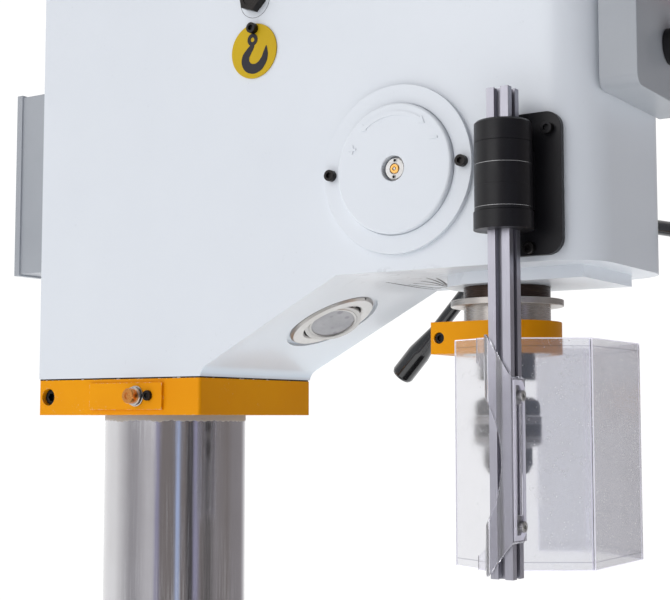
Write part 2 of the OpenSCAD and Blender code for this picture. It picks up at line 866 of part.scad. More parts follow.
module start_button() {
    color("green") on_front(start_at[0], start_at[1], panel_y) button(11, 5, 4, 8);
}
module stop_button() {
    color("red") on_front(stop_at[0], stop_at[1], panel_y) button(11, 5, 4, 8);
}
module emergency_stop() {
    color("red") on_front(estop_at[0], estop_at[1], panel_y) button(20, 12, 8, 8);
}
module speed_knob() {
    color("black") on_front(knob_at[0], knob_at[1], panel_y) {
        button(16, 14, 0.5, 12);
        translate([-2, 0, 14]) cube([4, 15, 2.5]);
    }
}

module electrical_box() {
    color("lightgray")
    difference() {
        union() {
            translate([-box_w / 2, head_rear, box_low]) cube([box_w, box_t - 8, box_h]);
            translate([-box_w / 2 - 2, head_rear + box_t - 8, box_low - 2])
                cube([box_w + 4, 8, box_h + 4]);
        }
        translate([0, head_rear + box_t - button_depth, switch_z]) rotate([-90, 0, 0])
            cylinder(r = button_bore_r + run, h = button_depth + cut);
        translate([0, head_rear + box_t / 2 - 4, box_low - cut]) cylinder(r = 8 + run, h = 12);
    }
}

module cable_gland() {
    color("dimgray")
    translate([0, head_rear + box_t / 2 - 4, box_low]) difference() {
        union() {
            translate([0, 0, -5]) cylinder(r = 13, h = 5, $fn = 6);
            translate([0, 0, -14]) cylinder(r = 11, h = 9 + cut);
            translate([0, 0, -24]) cylinder(r = 12.5, h = 11, $fn = 6);
            translate([0, 0, -cut]) cylinder(r = 8, h = 9 + cut);
        }
        translate([0, 0, -25]) cylinder(r = 5, h = 16);
    }
}

module main_switch() {
    color("red")
    translate([0, head_rear + box_t, switch_z]) rotate([-90, 0, 0]) {
        translate([0, 0, -12]) cylinder(r = button_bore_r, h = 14);
        translate([0, 0, 0.5]) cylinder(r = 20, h = 6);
        translate([-5, -20, 6]) cube([10, 40, 14]);
    }
}

module rack_ring() {
    inner = norm([rack_w / 2, rack_pitch_y + lift_m]) + gap;
    color("dimgray")
    translate([0, 0, rack_ring_z]) rotate_extrude()
        polygon([[column_r + run, rack_ring_h], [column_r + run, 14], [inner, 14], [inner, 0],
                 [inner + 8, 0], [inner + 8, rack_ring_h - 2], [inner + 6, rack_ring_h]]);
}

module table_rack() {
    p = PI * lift_m;
    first = ceil((rack_low + p - crank_z) / p);
    last = floor((rack_top - p - crank_z) / p);
    color("dimgray")
    across(rack_w)
        polygon(concat(
            [[rack_back, rack_top], [rack_back, rack_low], [rack_pitch_y + lift_m, rack_low]],
            [for (q = rack_points(first, last, lift_m, lift_m, -1.25 * lift_m))
                [rack_pitch_y + q[0], crank_z + q[1]]],
            [[rack_pitch_y + lift_m, rack_top]]));
}

lug_out = 36;
lug_half = 28;
lug_h = 60;
lever_screw_x = -sleeve_d / 2 - 18;
housing_half = crank_half + 20;
arm_w = 50;
pad_w = 220;
pad_front = spindle_y - 100;

module table_bracket() {
    color("gainsboro")
    difference() {
        union() {
            translate([0, 0, sleeve_low_z]) cylinder(r = sleeve_d / 2, h = sleeve_h);
            // Lugs of the clamp
            translate([-sleeve_d / 2 - lug_out, -lug_half, crank_z - lug_h / 2])
                cube([lug_out + 20, 2 * lug_half, lug_h]);
            // Housing of the lift pinion
            translate([-housing_half, column_r + 4, crank_z - crank_pocket_r - 8])
                cube([2 * housing_half, crank_y + crank_pocket_r + 2 - column_r, 2 * crank_pocket_r + 16]);
            on_right(crank_y, crank_z, housing_half - cut) cylinder(r = 20, h = crank_end - 2 - housing_half);
            // Web and pad that carry the table
            across(arm_w) polygon([[-column_r - 8, sleeve_low_z + 6], [-sleeve_d / 2 - 60, table_low - 66],
                                   [pad_front + 12, table_low - pad_t - 8],
                                   [pad_front + 12, table_low - pad_t + cut],
                                   [-column_r - 8, table_low - pad_t + cut]]);
            translate([-pad_w / 2, pad_front, table_low - pad_t])
                cube([pad_w, -pad_front + spindle_y + table_l / 2 - 10, pad_t]);
            translate([-arm_w / 2, spindle_y + table_l / 2 - 12, table_low - pad_t])
                cube([arm_w, throat - table_l / 2 - column_r, pad_t]);
        }
        translate([0, 0, sleeve_low_z - cut]) cylinder(r = column_r + run, h = sleeve_h + 2 * cut);
        translate([-sleeve_d / 2 - lug_out - cut, -2, sleeve_low_z - cut])
            cube([sleeve_d / 2 - column_r + 10 + lug_out, 4, sleeve_h + 2 * cut]);
        translate([lever_screw_x, lug_half + cut, crank_z]) rotate([90, 0, 0])
            cylinder(r = 8 + run, h = 2 * lug_half + 2 * cut);
        // Rack groove, pinion pocket and shaft bore
        translate([-rack_w / 2 - gap, column_r - 10, sleeve_low_z - cut])
            cube([rack_w + 2 * gap, rack_pitch_y + lift_m + gap - column_r + 10, sleeve_h + 2 * cut]);
        on_right(crank_y, crank_z, -crank_half - gap)
            cylinder(r = crank_pocket_r, h = 2 * (crank_half + gap));
        on_right(crank_y, crank_z, -housing_half + 8) cylinder(r = crank_shaft_r + run, h = 2 * crank_end);
    }
}

gutter_in = 14;
gutter_w = 12;
gutter_t = 7;

module drill_table() {
    color("lightslategray")
    difference() {
        translate([0, spindle_y, table_low]) rounded_box(table_w, table_l, table_t, 12);
        for (y = [-1, 1]) translate([0, spindle_y + y * table_l / 4, table_z])
            t_slot(table_w - 2 * gutter_in);
        difference() {
            translate([0, spindle_y, table_z - gutter_t])
                rounded_box(table_w - 2 * gutter_in, table_l - 2 * gutter_in, gutter_t + cut, 8);
            translate([0, spindle_y, table_z - gutter_t - cut])
                rounded_box(table_w - 2 * gutter_in - 2 * gutter_w, table_l - 2 * gutter_in
                    - 2 * gutter_w, gutter_t + 3 * cut, 4);
        }
        // Cored underside round the pad
        for (x = [-1, 1]) translate([x * (table_w / 2 - 18 - 43), spindle_y, table_low - cut])
            translate([-43, -table_l / 2 + 20, 0]) cube([86, table_l - 40, table_t - 26 + cut]);
    }
}

module table_pinion() {
    color("dimgray")
    on_right(crank_y, crank_z, -crank_half) {
        linear_extrude(2 * crank_half) rotate([0, 0, -90]) polygon(gear_points(lift_teeth, lift_m));
        translate([0, 0, -10]) cylinder(r = crank_shaft_r, h = crank_end + crank_half + arm_t + 10);
    }
}

crank_hub_r = 16;
crank_bore_r = crank_shaft_r + run;

module table_crank() {
    color("dimgray")
    on_right(crank_y, crank_z, crank_end) difference() {
        union() {
            cylinder(r = crank_hub_r, h = arm_t);
            translate([0, -9, 0]) cube([crank_l, 18, arm_t - 3]);
            translate([crank_l, 0, 0]) cylinder(r = 13, h = arm_t - 3);
            translate([crank_l, 0, 0]) cylinder(r = 5, h = 96);
            translate([crank_l, 0, 93]) cylinder(r = 8, h = 4);
        }
        translate([0, 0, -cut]) cylinder(r = crank_bore_r, h = arm_t + 2 * cut);
    }
}

module crank_grip() {
    color("black")
    on_right(crank_y, crank_z - crank_l, crank_end + arm_t - 3 + gap) rotate_extrude()
        polygon([[5 + run, 0], [9, 0], [13, 20], [13, 60], [10, 83], [5 + run, 83]]);
}

lock_lean = -20;

module table_lock_lever() {
    color("black")
    translate([lever_screw_x, -lug_half, crank_z]) rotate([90, 0, 0]) {
        translate([0, 0, -2 * lug_half - 6]) cylinder(r = 8, h = 2 * lug_half + 12);
        cylinder(r = 14, h = 20);
        translate([0, 0, 10]) rotate([90, 0, lock_lean]) cylinder(r = 6, h = 118);
        translate([0, 0, 10]) rotate([90, 0, lock_lean]) translate([0, 0, 118]) sphere(r = 15);
    }
}

module quill() {
    first = -3;
    last = ceil((quill_top - feed_z) / (PI * feed_m));
    rack_end = feed_z + (last + 1) * PI * feed_m;
    tip = quill_r - 0.2;
    color("silver")
    difference() {
        translate([0, spindle_y, quill_z]) cylinder(r = quill_r, h = quill_top - quill_z);
        translate([0, spindle_y, quill_z - cut])
            cylinder(r = spindle_d / 2 + run, h = quill_top - quill_z + 2 * cut);
        translate([0, spindle_y, quill_z + 60])
            cylinder(r = spindle_d / 2 + 3, h = quill_top - quill_z - 120);
        across(teeth_w)
            polygon(concat(
                [[spindle_y + quill_r + 2, feed_z - 30]],
                [[spindle_y + tip, feed_z - 30]],
                [for (q = rack_points(first, last, feed_m, tip - quill_pitch, -1.25 * feed_m))
                    [spindle_y + quill_pitch + q[0], feed_z + q[1]]],
                [[spindle_y + tip, rack_end]],
                [[spindle_y + quill_r + 2, rack_end]]));
    }
}

module quill_ring() {
    color("silver")
    translate([0, 0, ring_z]) difference() {
        union() {
            translate([0, spindle_y, 0]) cylinder(r = ring_r, h = ring_t);
            translate([rod_x, rod_y, 0]) cylinder(r = tab_r, h = ring_t);
        }
        translate([0, spindle_y, -cut]) cylinder(r = quill_r + run, h = ring_t + 2 * cut);
        translate([rod_x, rod_y, -cut]) cylinder(r = rod_r + run, h = ring_t + 2 * cut);
    }
}

module quill_collar() {
    color("orange")
    translate([0, spindle_y, quill_z]) difference() {
        union() {
            cylinder(r = collar_r, h = collar_h);
            translate([-collar_r, 0, 0]) cube([2 * collar_r, collar_rear, collar_h]);
        }
        translate([0, 0, -cut]) cylinder(r = quill_r + run, h = collar_h + 2 * cut);
        translate([-1.5, quill_r - 4, -cut]) cube([3, collar_rear, collar_h + 2 * cut]);
        translate([-collar_r - cut, collar_screw_y - spindle_y, collar_h / 2]) rotate([0, 90, 0])
            cylinder(r = m6_r + run, h = 2 * collar_r - 10);
        translate([-collar_r - cut, collar_screw_y - spindle_y, collar_h / 2]) rotate([0, 90, 0])
            cylinder(r = m6_head_r + run, h = 8 + cut);
    }
}

module collar_screw() {
    color("black")
    translate([-collar_r + 8, collar_screw_y, collar_screw_z]) rotate([0, -90, 0])
        socket_screw(m6_r, m6_head_r, m6_head_h, 2 * collar_r - 24);
}

module depth_rod() {
    color("dimgray")
    translate([rod_x, rod_y, 0]) {
        translate([0, 0, ring_z - 12]) cylinder(r = rod_r, h = nose_z + quill_travel + 30 - ring_z);
        translate([0, 0, ring_z - 8]) cylinder(r = nut_r, h = 8, $fn = 6);
        translate([0, 0, ring_z + ring_t]) cylinder(r = nut_r, h = 6, $fn = 6);
    }
}

module spindle() {
    color("dimgray")
    translate([0, spindle_y, 0]) {
        translate([0, 0, zt - 48]) cylinder(r = arbor_d / 2, h = 44 + cut);
        translate([0, 0, nose_low]) cylinder(r = nose_d / 2, h = quill_z - gap - nose_low);
        translate([0, 0, nose_low]) cylinder(r = spindle_d / 2, h = spindle_top - nose_low);
        translate([0, 0, quill_top + gap]) linear_extrude(spindle_top - quill_top - gap) union() {
            circle(r = spindle_d / 2 - 0.5);
            for (i = [0 : spline_count / 2 - 1]) rotate([0, 0, i * 360 / spline_count])
                square([2 * spline_r, spline_w], center = true);
        }
    }
}

module chuck_body() {
    r = chuck_d / 2;
    color("silver")
    translate([0, spindle_y, 0]) rotate_extrude()
        polygon([[arbor_d / 2 + run, chuck_top], [r - 8, chuck_top], [r - 2.5, chuck_top - 3],
                 [r - 1, chuck_top - 8], [r - 1, sleeve_top + gap], [core_r, sleeve_top + gap],
                 [core_r, chuck_low + 6], [jaw_r + run, chuck_low + 6], [jaw_r + run, zt - 60],
                 [0, zt - 60], [0, zt - 50], [arbor_d / 2 + run, zt - 50]]);
}

module chuck_sleeve() {
    r = chuck_d / 2;
    rn = chuck_nose_d / 2;
    color("silver")
    translate([0, spindle_y, 0]) rotate_extrude()
        polygon([[core_r + run, sleeve_top], [r, sleeve_top], [r, sleeve_low + 3], [r - 3, sleeve_low],
                 [rn, sleeve_low - 1], [rn, chuck_low + 8], [rn - 4, chuck_low],
                 [jaw_r + 1.5, chuck_low], [jaw_r + 1.5, chuck_low + 5], [core_r + run, chuck_low + 5]]);
}

module chuck_jaws() {
    color("dimgray")
    translate([0, spindle_y, chuck_low - jaw_stick]) difference() {
        rotate_extrude() polygon([[1.5, 0], [6, 0], [jaw_r, 8], [jaw_r, chuck_low - zt + 60 + jaw_stick + 54],
                                  [1.5, chuck_low - zt + 60 + jaw_stick + 54]]);
        for (a = [0 : 120 : 240]) rotate([0, 0, a]) translate([-0.8, 0, -cut]) cube([1.6, 30, 60]);
    }
}

module spindle_gear() {
    color("silver")
    translate([0, spindle_y, 0]) difference() {
        union() {
            translate([0, 0, gear_z]) linear_extrude(gear_t)
                polygon(gear_points(spindle_teeth, gear_m));
            translate([0, 0, chamber_z - web_t + gap]) cylinder(r = gear_sleeve_r,
                h = lid_z - chamber_z + web_t - gap);
        }
        translate([0, 0, quill_top]) linear_extrude(lid_z) union() {
            circle(r = spindle_d / 2 + run);
            for (i = [0 : spline_count / 2 - 1]) rotate([0, 0, i * 360 / spline_count])
                square([2 * spline_r + 4 * run, spline_w + 4 * run], center = true);
        }
    }
}

module idler_gear() {
    color("silver")
    translate([0, idler_y, 0]) {
        translate([0, 0, gear_z]) linear_extrude(gear_t) rotate([0, 0, 180 / idler_teeth])
            polygon(gear_points(idler_teeth, gear_m));
        translate([0, 0, chamber_z - 20 + gap]) cylinder(r = idler_r, h = top_z + 13 - chamber_z + 20);
    }
}

module motor_pinion() {
    color("silver")
    translate([0, motor_y, 0]) {
        translate([0, 0, gear_z]) linear_extrude(gear_t) polygon(gear_points(motor_teeth, gear_m));
        translate([0, 0, chamber_z - 14 + gap]) cylinder(r = motor_shaft_r,
            h = lid_z + 94 - chamber_z + 14);
    }
}

shaft_end_r = 10;
hub_r = 34;

module feed_shaft() {
    color("silver")
    on_right(feed_y, feed_z, 0) {
        translate([0, 0, gap - teeth_w / 2]) linear_extrude(teeth_w - 2 * gap) rotate([0, 0, -90])
            polygon(gear_points(feed_teeth, feed_m));
        translate([0, 0, 2 - side]) cylinder(r = shaft_r, h = side + lever_plane + hub_seat - gap - 2);
        translate([0, 0, -side - 5]) cylinder(r = shaft_end_r, h = 8);
    }
}

module lever_places() {
    for (i = [0 : lever_count - 1])
        translate([lever_plane, feed_y, feed_z]) rotate([-lever_angle + i * 360 / lever_count, 0, 0])
            rotate([-90, 0, 0]) children();
}

module feed_hub() {
    start = side + bearing_flange_t + gap;
    color("dimgray")
    difference() {
        on_right(feed_y, feed_z, start) rotate_extrude()
            polygon([[shaft_r + run, 0], [hub_r + 6, 0], [hub_r + 6, 14], [hub_r, 18],
                     [hub_r, lever_plane + 22 - start], [hub_r - 8, lever_plane + 30 - start],
                     [0, lever_plane + 30 - start], [0, lever_plane + hub_seat - start],
                     [shaft_r + run, lever_plane + hub_seat - start]]);
        lever_places() translate([0, 0, shaft_r + 3]) cylinder(r = arm_r + run, h = hub_r);
    }
}

module feed_arms() {
    color("silver")
    lever_places() translate([0, 0, shaft_r + 4])
        cylinder(r = arm_r, h = lever_reach - arm_short - shaft_r - 4);
}

module feed_grips() {
    r = grip_d / 2;
    from = lever_reach - grip_l;
    color("black")
    lever_places() rotate_extrude()
        polygon([[arm_r + run, from], [arm_r + 1.5, from], [arm_r + 1.5, lever_reach - grip_neck],
                 [r, lever_reach - grip_head], [r, lever_reach - 5],
                 [r - 1.5, lever_reach - 1.5], [r - 5, lever_reach],
                 [0, lever_reach], [0, lever_reach - arm_short + cut],
                 [arm_r + run, lever_reach - arm_short + cut]]);
}

module guard_rotor() {
    r = barrel_d / 2;
    color("black")
    translate([post_x, post_y, 0]) difference() {
        union() {
            translate([0, 0, barrel_low]) cylinder(r = r + 1, h = barrel_foot_h);
            translate([0, 0, barrel_low]) cylinder(r = rotor_r, h = barrel_top - barrel_low);
            translate([0, 0, barrel_top - barrel_cap_h]) rotate_extrude()
                polygon([[0, 0], [r, 0], [r, barrel_cap_h - 2], [r - 2, barrel_cap_h], [0, barrel_cap_h]]);
        }
        translate([-profile_w / 2 - gap / 2, -profile_w / 2 - gap / 2, barrel_low - cut])
            cube([profile_w + gap, profile_w + gap, barrel_top - barrel_low + 2 * cut]);
    }
}

profile_slot = 6;
profile_lip = 1.8;
profile_room = 11.5;
profile_bore = 2.5;

module profile_section() {
    difference() {
        square(profile_w, center = true);
        for (a = [0 : 90 : 270]) rotate([0, 0, a]) {
            translate([profile_w / 2 - profile_lip - 0.5, -profile_slot / 2])
                square([profile_lip + 2, profile_slot]);
            polygon([[profile_w / 2 - profile_lip, -profile_room / 2],
                     [profile_w / 2 - profile_lip, profile_room / 2],
                     [profile_w / 2 - profile_lip - 1.4, profile_room / 2],
                     [profile_w / 2 - 6, profile_slot / 2],
                     [profile_w / 2 - 6, -profile_slot / 2],
                     [profile_w / 2 - profile_lip - 1.4, -profile_room / 2]]);
        }
        circle(r = profile_bore);
    }
}

module guard_profile() {
    color("silver")
    translate([post_x, post_y, profile_low])
        linear_extrude(profile_top - profile_low) profile_section();
}

// Plan of the screen: half of it, from the rear edge to the front
screen_rear = [-82, spindle_y + 10];
screen_side = [-101, spindle_y - 34];
screen_front = [-54, spindle_y - 105];

// Outline of a strip of thickness t along a bent path, with mitred bends
function seg_normal(p, q) = let (d = q - p) [-d[1], d[0]] / norm(d);
function strip_side(path, off) =
    let (last = len(path) - 1)
    [for (i = [0 : last])
        let (n1 = seg_normal(path[max(i - 1, 0)], path[max(i, 1)]),
             n2 = seg_normal(path[min(i, last - 1)], path[min(i + 1, last)]))
        path[i] + (n1 + n2) * off / (1 + n1 * n2)];
function strip_points(path, t) =
    let (left = strip_side(path, t / 2), right = strip_side(path, -t / 2), last = len(path) - 1)
    concat(left, [for (i = [last : -1 : 0]) right[i]]);

module guard_screen() {
    path = [screen_rear, screen_side, screen_front, [-screen_front[0], screen_front[1]],
            [-screen_side[0], screen_side[1]], [-screen_rear[0], screen_rear[1]]];
    color("lightcyan", 0.4)
    translate([0, 0, screen_low]) linear_extrude(screen_h) polygon(strip_points(path, screen_t));
}

plate_x = post_x - profile_w / 2 - screen_t / 2;
plate_rear = post_y + profile_w / 2 + screen_t / 2;
plate_front = post_y - profile_w / 2 - screen_t / 2;
hold_r = 72;
hold_z = (screen_low + screen_top) / 2 - 2;
rear_cut = 36;
low_cut = 28;

module guard_bracket() {
    edge = (screen_side - screen_rear) / norm(screen_side - screen_rear);
    out = seg_normal(screen_side, screen_rear);
    // Flange on the screen, web, plate along the post and channel on its front
    path = [screen_side - 26 * edge + screen_t * out, screen_side - 8 * edge + screen_t * out,
            [plate_x, plate_rear], [plate_x, plate_front], [post_x + profile_w / 2, plate_front]];
    color("lightcyan", 0.4)
    difference() {
        translate([0, 0, screen_low]) linear_extrude(screen_h)
            polygon(strip_points(path, screen_t));
        // Slanted ends of the plate and shorter channel
        across(600) polygon([[plate_rear, screen_top], [plate_rear, screen_top + cut],
                             [plate_front - 20, screen_top + cut],
                             [plate_front - 20, screen_top - rear_cut],
                             [plate_front, screen_top - rear_cut]]);
        across(600) polygon([[plate_rear, screen_low], [plate_rear, screen_low - cut],
                             [plate_front - 20, screen_low - cut],
                             [plate_front - 20, screen_low + low_cut],
                             [plate_front, screen_low + low_cut]]);
        translate([plate_x - 20, spindle_y + 2, hold_z]) rotate([0, 90, 0])
            cylinder(r = hold_r, h = screen_side[0] - 6 - plate_x + 20);
        guard_bolt_places() translate([0, 0, -12]) cylinder(r = 2.5 + gap, h = 24);
    }
}

module guard_bolt_places() {
    for (z = [screen_low + 40, screen_top - 50])
        translate([post_x, plate_front - screen_t / 2, z]) rotate([90, 0, 0]) children();
}

module guard_screws() {
    color("dimgray")
    guard_bolt_places() {
        translate([0, 0, -9]) cylinder(r = 2.5, h = 10);
        difference() {
            cylinder(r = 4.6, h = 3.5);
            translate([0, 0, 1.5]) cylinder(r = 2, h = 4, $fn = 6);
        }
    }
}

module lamp_gimbal() {
    color("tan")
    at_lamp() translate([0, 0, lamp_seat_t + gimbal_sink]) rotate([0, lamp_turn, 0]) {
        difference() {
            translate([0, 0, -gimbal_h / 2]) cylinder(r = gimbal_r, h = gimbal_h);
            translate([0, 0, -gimbal_h]) cylinder(r = bulb_r + run, h = 2 * gimbal_h);
        }
        for (y = [0, 1]) mirror([0, y, 0]) translate([0, -gimbal_r + 1, 0]) rotate([90, 0, 0])
            cylinder(r = 1.3, h = 4.5);
    }
}

module lamp_bulb() {
    color("lightgray")
    at_lamp() translate([0, 0, lamp_seat_t + gimbal_sink]) rotate([0, lamp_turn, 0])
        translate([0, 0, 1 - gimbal_h / 2]) rotate_extrude()
            polygon([[0, 0], [bulb_r - 2, 0], [bulb_r, 1.5], [bulb_r, 6], [bulb_r - 1, 8],
                     [14, 24], [9, 30], [9, 36], [0, 36]]);
}

base();
column_flange();
column();
hex_bolts();
head_casting();
column_clamp();
clamp_fasteners();
gearbox_lid();
head_screws();
motor();
motor_fan_cover();
terminal_box();
spindle_cap();
spring_housing_ring();
spring_housing();
return_spring();
feed_bearing();
lamp_ring();
lifting_sign();
guard_mount();
guard_barrel();
control_panel();
electrical_box();
cable_gland();
rack_ring();
table_rack();
table_bracket();
drill_table();
table_pinion();
table_crank();
crank_grip();
table_lock_lever();
quill();
quill_ring();
quill_collar();
collar_screw();
depth_rod();
spindle();
chuck_body();
chuck_sleeve();
chuck_jaws();
spindle_gear();
idler_gear();
motor_pinion();
feed_shaft();
feed_hub();
feed_arms();
feed_grips();
guard_rotor();
guard_profile();
guard_bracket();
guard_screen();
guard_screws();
lamp_gimbal();
lamp_bulb();
start_button();
stop_button();
emergency_stop();
speed_knob();
main_switch();
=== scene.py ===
# Pillar drill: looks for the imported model, seen as in the photograph.
import bpy
import bmesh
import math
import random
from mathutils import Matrix, Vector


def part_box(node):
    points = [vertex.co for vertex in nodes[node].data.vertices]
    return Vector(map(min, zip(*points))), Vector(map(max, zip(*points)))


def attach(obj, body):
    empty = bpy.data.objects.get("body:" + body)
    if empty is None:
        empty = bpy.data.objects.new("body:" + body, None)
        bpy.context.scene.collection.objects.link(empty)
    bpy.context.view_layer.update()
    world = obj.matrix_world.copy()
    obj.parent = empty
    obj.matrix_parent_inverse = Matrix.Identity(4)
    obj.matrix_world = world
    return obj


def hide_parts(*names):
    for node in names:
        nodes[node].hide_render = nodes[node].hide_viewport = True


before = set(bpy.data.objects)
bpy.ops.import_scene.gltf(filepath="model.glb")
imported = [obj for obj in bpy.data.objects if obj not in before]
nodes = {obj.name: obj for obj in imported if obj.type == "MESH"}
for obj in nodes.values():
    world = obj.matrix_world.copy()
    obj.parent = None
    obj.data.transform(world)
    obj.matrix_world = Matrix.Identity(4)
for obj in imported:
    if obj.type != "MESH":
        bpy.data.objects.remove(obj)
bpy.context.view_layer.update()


def setInputs(node, values):
    for label, value in values.items():
        node.inputs[label.replace("_", " ")].default_value = value
    return node


def addNode(tree, kind, **inputs):
    return setInputs(tree.nodes.new(kind), inputs)


def feed(tree, socket, value):
    # A value is another node's output or a constant
    if hasattr(value, "links"):
        tree.links.new(value, socket)
    else:
        socket.default_value = value


def addMath(tree, operation, first, second=None):
    node = tree.nodes.new("ShaderNodeMath")
    node.operation = operation
    feed(tree, node.inputs[0], first)
    if second is not None:
        feed(tree, node.inputs[1], second)
    return node.outputs[0]


def product(tree, first, *others):
    for value in others:
        first = addMath(tree, "MULTIPLY", first, value)
    return first


def awayFrom(tree, value, middle):
    return addMath(tree, "ABSOLUTE", addMath(tree, "SUBTRACT", value, middle))


def addRange(tree, value, low, high, start=0.0, end=1.0):
    node = tree.nodes.new("ShaderNodeMapRange")
    tree.links.new(value, node.inputs["Value"])
    for label, number in (("From Min", low), ("From Max", high), ("To Min", start), ("To Max", end)):
        node.inputs[label].default_value = number
    return node.outputs["Result"]


def addMix(tree, factor, first, second):
    node = tree.nodes.new("ShaderNodeMix")
    node.data_type = "RGBA"
    feed(tree, node.inputs[0], factor)
    for socket, colour in ((node.inputs[6], first), (node.inputs[7], second)):
        feed(tree, socket, (*colour, 1) if isinstance(colour, tuple) else colour)
    return node.outputs[2]


def splitOf(tree, vector):
    node = tree.nodes.new("ShaderNodeSeparateXYZ")
    tree.links.new(vector, node.inputs["Vector"])
    return node.outputs


def noiseOf(tree, vector, scale, detail=3.0, rough=0.55):
    node = addNode(tree, "ShaderNodeTexNoise", Detail=detail, Roughness=rough)
    feed(tree, node.inputs["Scale"], scale)
    tree.links.new(vector, node.inputs["Vector"])
    return node.outputs["Fac"]


def placeOf(tree):
    return tree.nodes.new("ShaderNodeTexCoord").outputs["Object"]


def stretched(tree, vector, scale):
    node = tree.nodes.new("ShaderNodeMapping")
    feed(tree, node.inputs["Scale"], scale)
    tree.links.new(vector, node.inputs["Vector"])
    return node.outputs["Vector"]


print("stage: camera and light")

# Places that several pieces share, read from the frame
headLow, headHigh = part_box("head_casting")
columnLow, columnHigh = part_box("column_clamp")
headSide = headLow[0]
clampTop = columnHigh[2]
drumLow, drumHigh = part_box("spring_housing")
drumY = (drumLow[1] + drumHigh[1]) / 2
drumZ = (drumLow[2] + drumHigh[2]) / 2
signLow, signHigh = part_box("lifting_sign")
signY = (signLow[1] + signHigh[1]) / 2
signZ = (signLow[2] + signHigh[2]) / 2

cameraView = {
    "location": (-1.1424, -0.9625, clampTop - 0.0397),
    "turn": 0.585,  # from +X towards +Y, in radians
    "rise": 0.086,
    "lens": 73.65,
    "sensor": 36.0,
    "clip": (0.05, 50),
}


def makeCamera(view):
    data = bpy.data.cameras.new("photoCamera")
    data.lens = view["lens"]
    data.sensor_width = view["sensor"]
    data.clip_start, data.clip_end = view["clip"]
    camera = bpy.data.objects.new("photoCamera", data)
    bpy.context.scene.collection.objects.link(camera)
    flat = math.cos(view["rise"])
    forward = Vector((math.cos(view["turn"]) * flat, math.sin(view["turn"]) * flat, math.sin(view["rise"])))
    camera.location = view["location"]
    camera.rotation_mode = "QUATERNION"
    camera.rotation_quaternion = forward.to_track_quat("-Z", "Y")
    bpy.context.scene.camera = camera


studio = {
    "white": (1.06, 1.06, 1.06),
    "wall": (0.70, 0.69, 0.71),
    "dim": (0.58, 0.57, 0.59),
    "dusk": (0.45, 0.44, 0.46),
    "haze": (0.27, 0.245, 0.24),
    "dark": (0.10, 0.095, 0.10),
    "blue": (0.55, 0.66, 0.95),
    "lilac": (0.40, 0.39, 0.54),
    "shade": (0.17, 0.16, 0.16),
    "mid": (0.33, 0.31, 0.32),
    "above": (0.06, 0.06, 0.065),
    # colours by compass direction, in shares of a turn, near the horizon and higher up
    "horizon": [(0.0, "wall"), (0.014, "wall"), (0.026, "lilac"), (0.034, "lilac"), (0.046, "haze"),
                (0.110, "haze"), (0.117, "blue"), (0.128, "blue"), (0.136, "haze"), (0.153, "haze"),
                (0.168, "dark"), (0.188, "dark"), (0.198, "lilac"), (0.210, "lilac"), (0.224, "haze"),
                (0.252, "shade"), (0.275, "shade"), (0.300, "mid"), (0.372, "haze"), (0.41, "mid"),
                (0.495, "mid"), (0.535, "wall"), (0.57, "white"), (0.80, "white"), (0.90, "dusk"),
                (0.925, "dusk"), (0.957, "dim"), (0.985, "wall"), (1.0, "wall")],
    "high": [(0.0, "white"), (0.03, "wall"), (0.08, "above"), (0.43, "above"), (0.48, "white"),
             (1.0, "white")],
    "highFrom": 0.25, "highTo": 0.45,  # heights of the view where the second takes over
    "floorSize": 10.0,
    "floorColour": (0.86, 0.86, 0.86, 1), "floorRough": 0.8,
    "floorTint": (0.96, 0.985, 1, 1), "floorGlow": 0.76,
    "key": {"place": (-3.6, 0.7, 2.9), "aim": (0, -0.3, 1.5), "size": 3.0, "power": 38},
}


def addAreaLight(name, place, aim, size, power):
    data = bpy.data.lights.new(name, "AREA")
    data.shape = "SQUARE"
    data.size = size
    data.energy = power
    light = bpy.data.objects.new(name, data)
    bpy.context.scene.collection.objects.link(light)
    light.location = place
    light.rotation_mode = "QUATERNION"
    light.rotation_quaternion = (Vector(aim) - Vector(place)).to_track_quat("-Z", "Y")


def makeSky(values):
    # The room by compass direction: white behind the drill, dim with brighter patches in front of it
    world = bpy.data.worlds.new("studioSky")
    bpy.context.scene.world = world
    world.use_nodes = True
    tree = world.node_tree
    view = tree.nodes.new("ShaderNodeTexCoord").outputs["Generated"]
    turn = tree.nodes.new("ShaderNodeTexGradient")
    turn.gradient_type = "RADIAL"
    tree.links.new(view, turn.inputs["Vector"])
    colours = []
    for label in ("horizon", "high"):
        ramp = tree.nodes.new("ShaderNodeValToRGB")
        tree.links.new(turn.outputs["Fac"], ramp.inputs["Fac"])
        points = ramp.color_ramp.elements
        stops = values[label]
        while len(points) < len(stops):
            points.new(0.5)
        for point, (where, name) in zip(points, stops):
            point.position = where
        for point, (where, name) in zip(points, stops):
            point.color = (*values[name], 1)
        colours.append(ramp.outputs["Color"])
    height = addRange(tree, splitOf(tree, view)["Z"], values["highFrom"], values["highTo"])
    room = addMix(tree, height, *colours)
    # the camera itself sees a plain white backdrop
    direct = tree.nodes.new("ShaderNodeLightPath").outputs["Is Camera Ray"]
    tree.links.new(addMix(tree, direct, room, values["white"]), tree.nodes["Background"].inputs["Color"])


def makeFloor(values):
    half = values["floorSize"] / 2
    corners = [(-half, -half, 0), (half, -half, 0), (half, half, 0), (-half, half, 0)]
    mesh = bpy.data.meshes.new("studioFloor")
    mesh.from_pydata(corners, [], [(0, 1, 2, 3)])
    floor = bpy.data.objects.new("studioFloor", mesh)
    bpy.context.scene.collection.objects.link(floor)
    material = bpy.data.materials.new("floorPaper")
    material.use_nodes = True
    shader = material.node_tree.nodes["Principled BSDF"]
    shader.inputs["Base Color"].default_value = values["floorColour"]
    shader.inputs["Roughness"].default_value = values["floorRough"]
    shader.inputs["Emission Color"].default_value = values["floorTint"]
    shader.inputs["Emission Strength"].default_value = values["floorGlow"]
    mesh.materials.append(material)


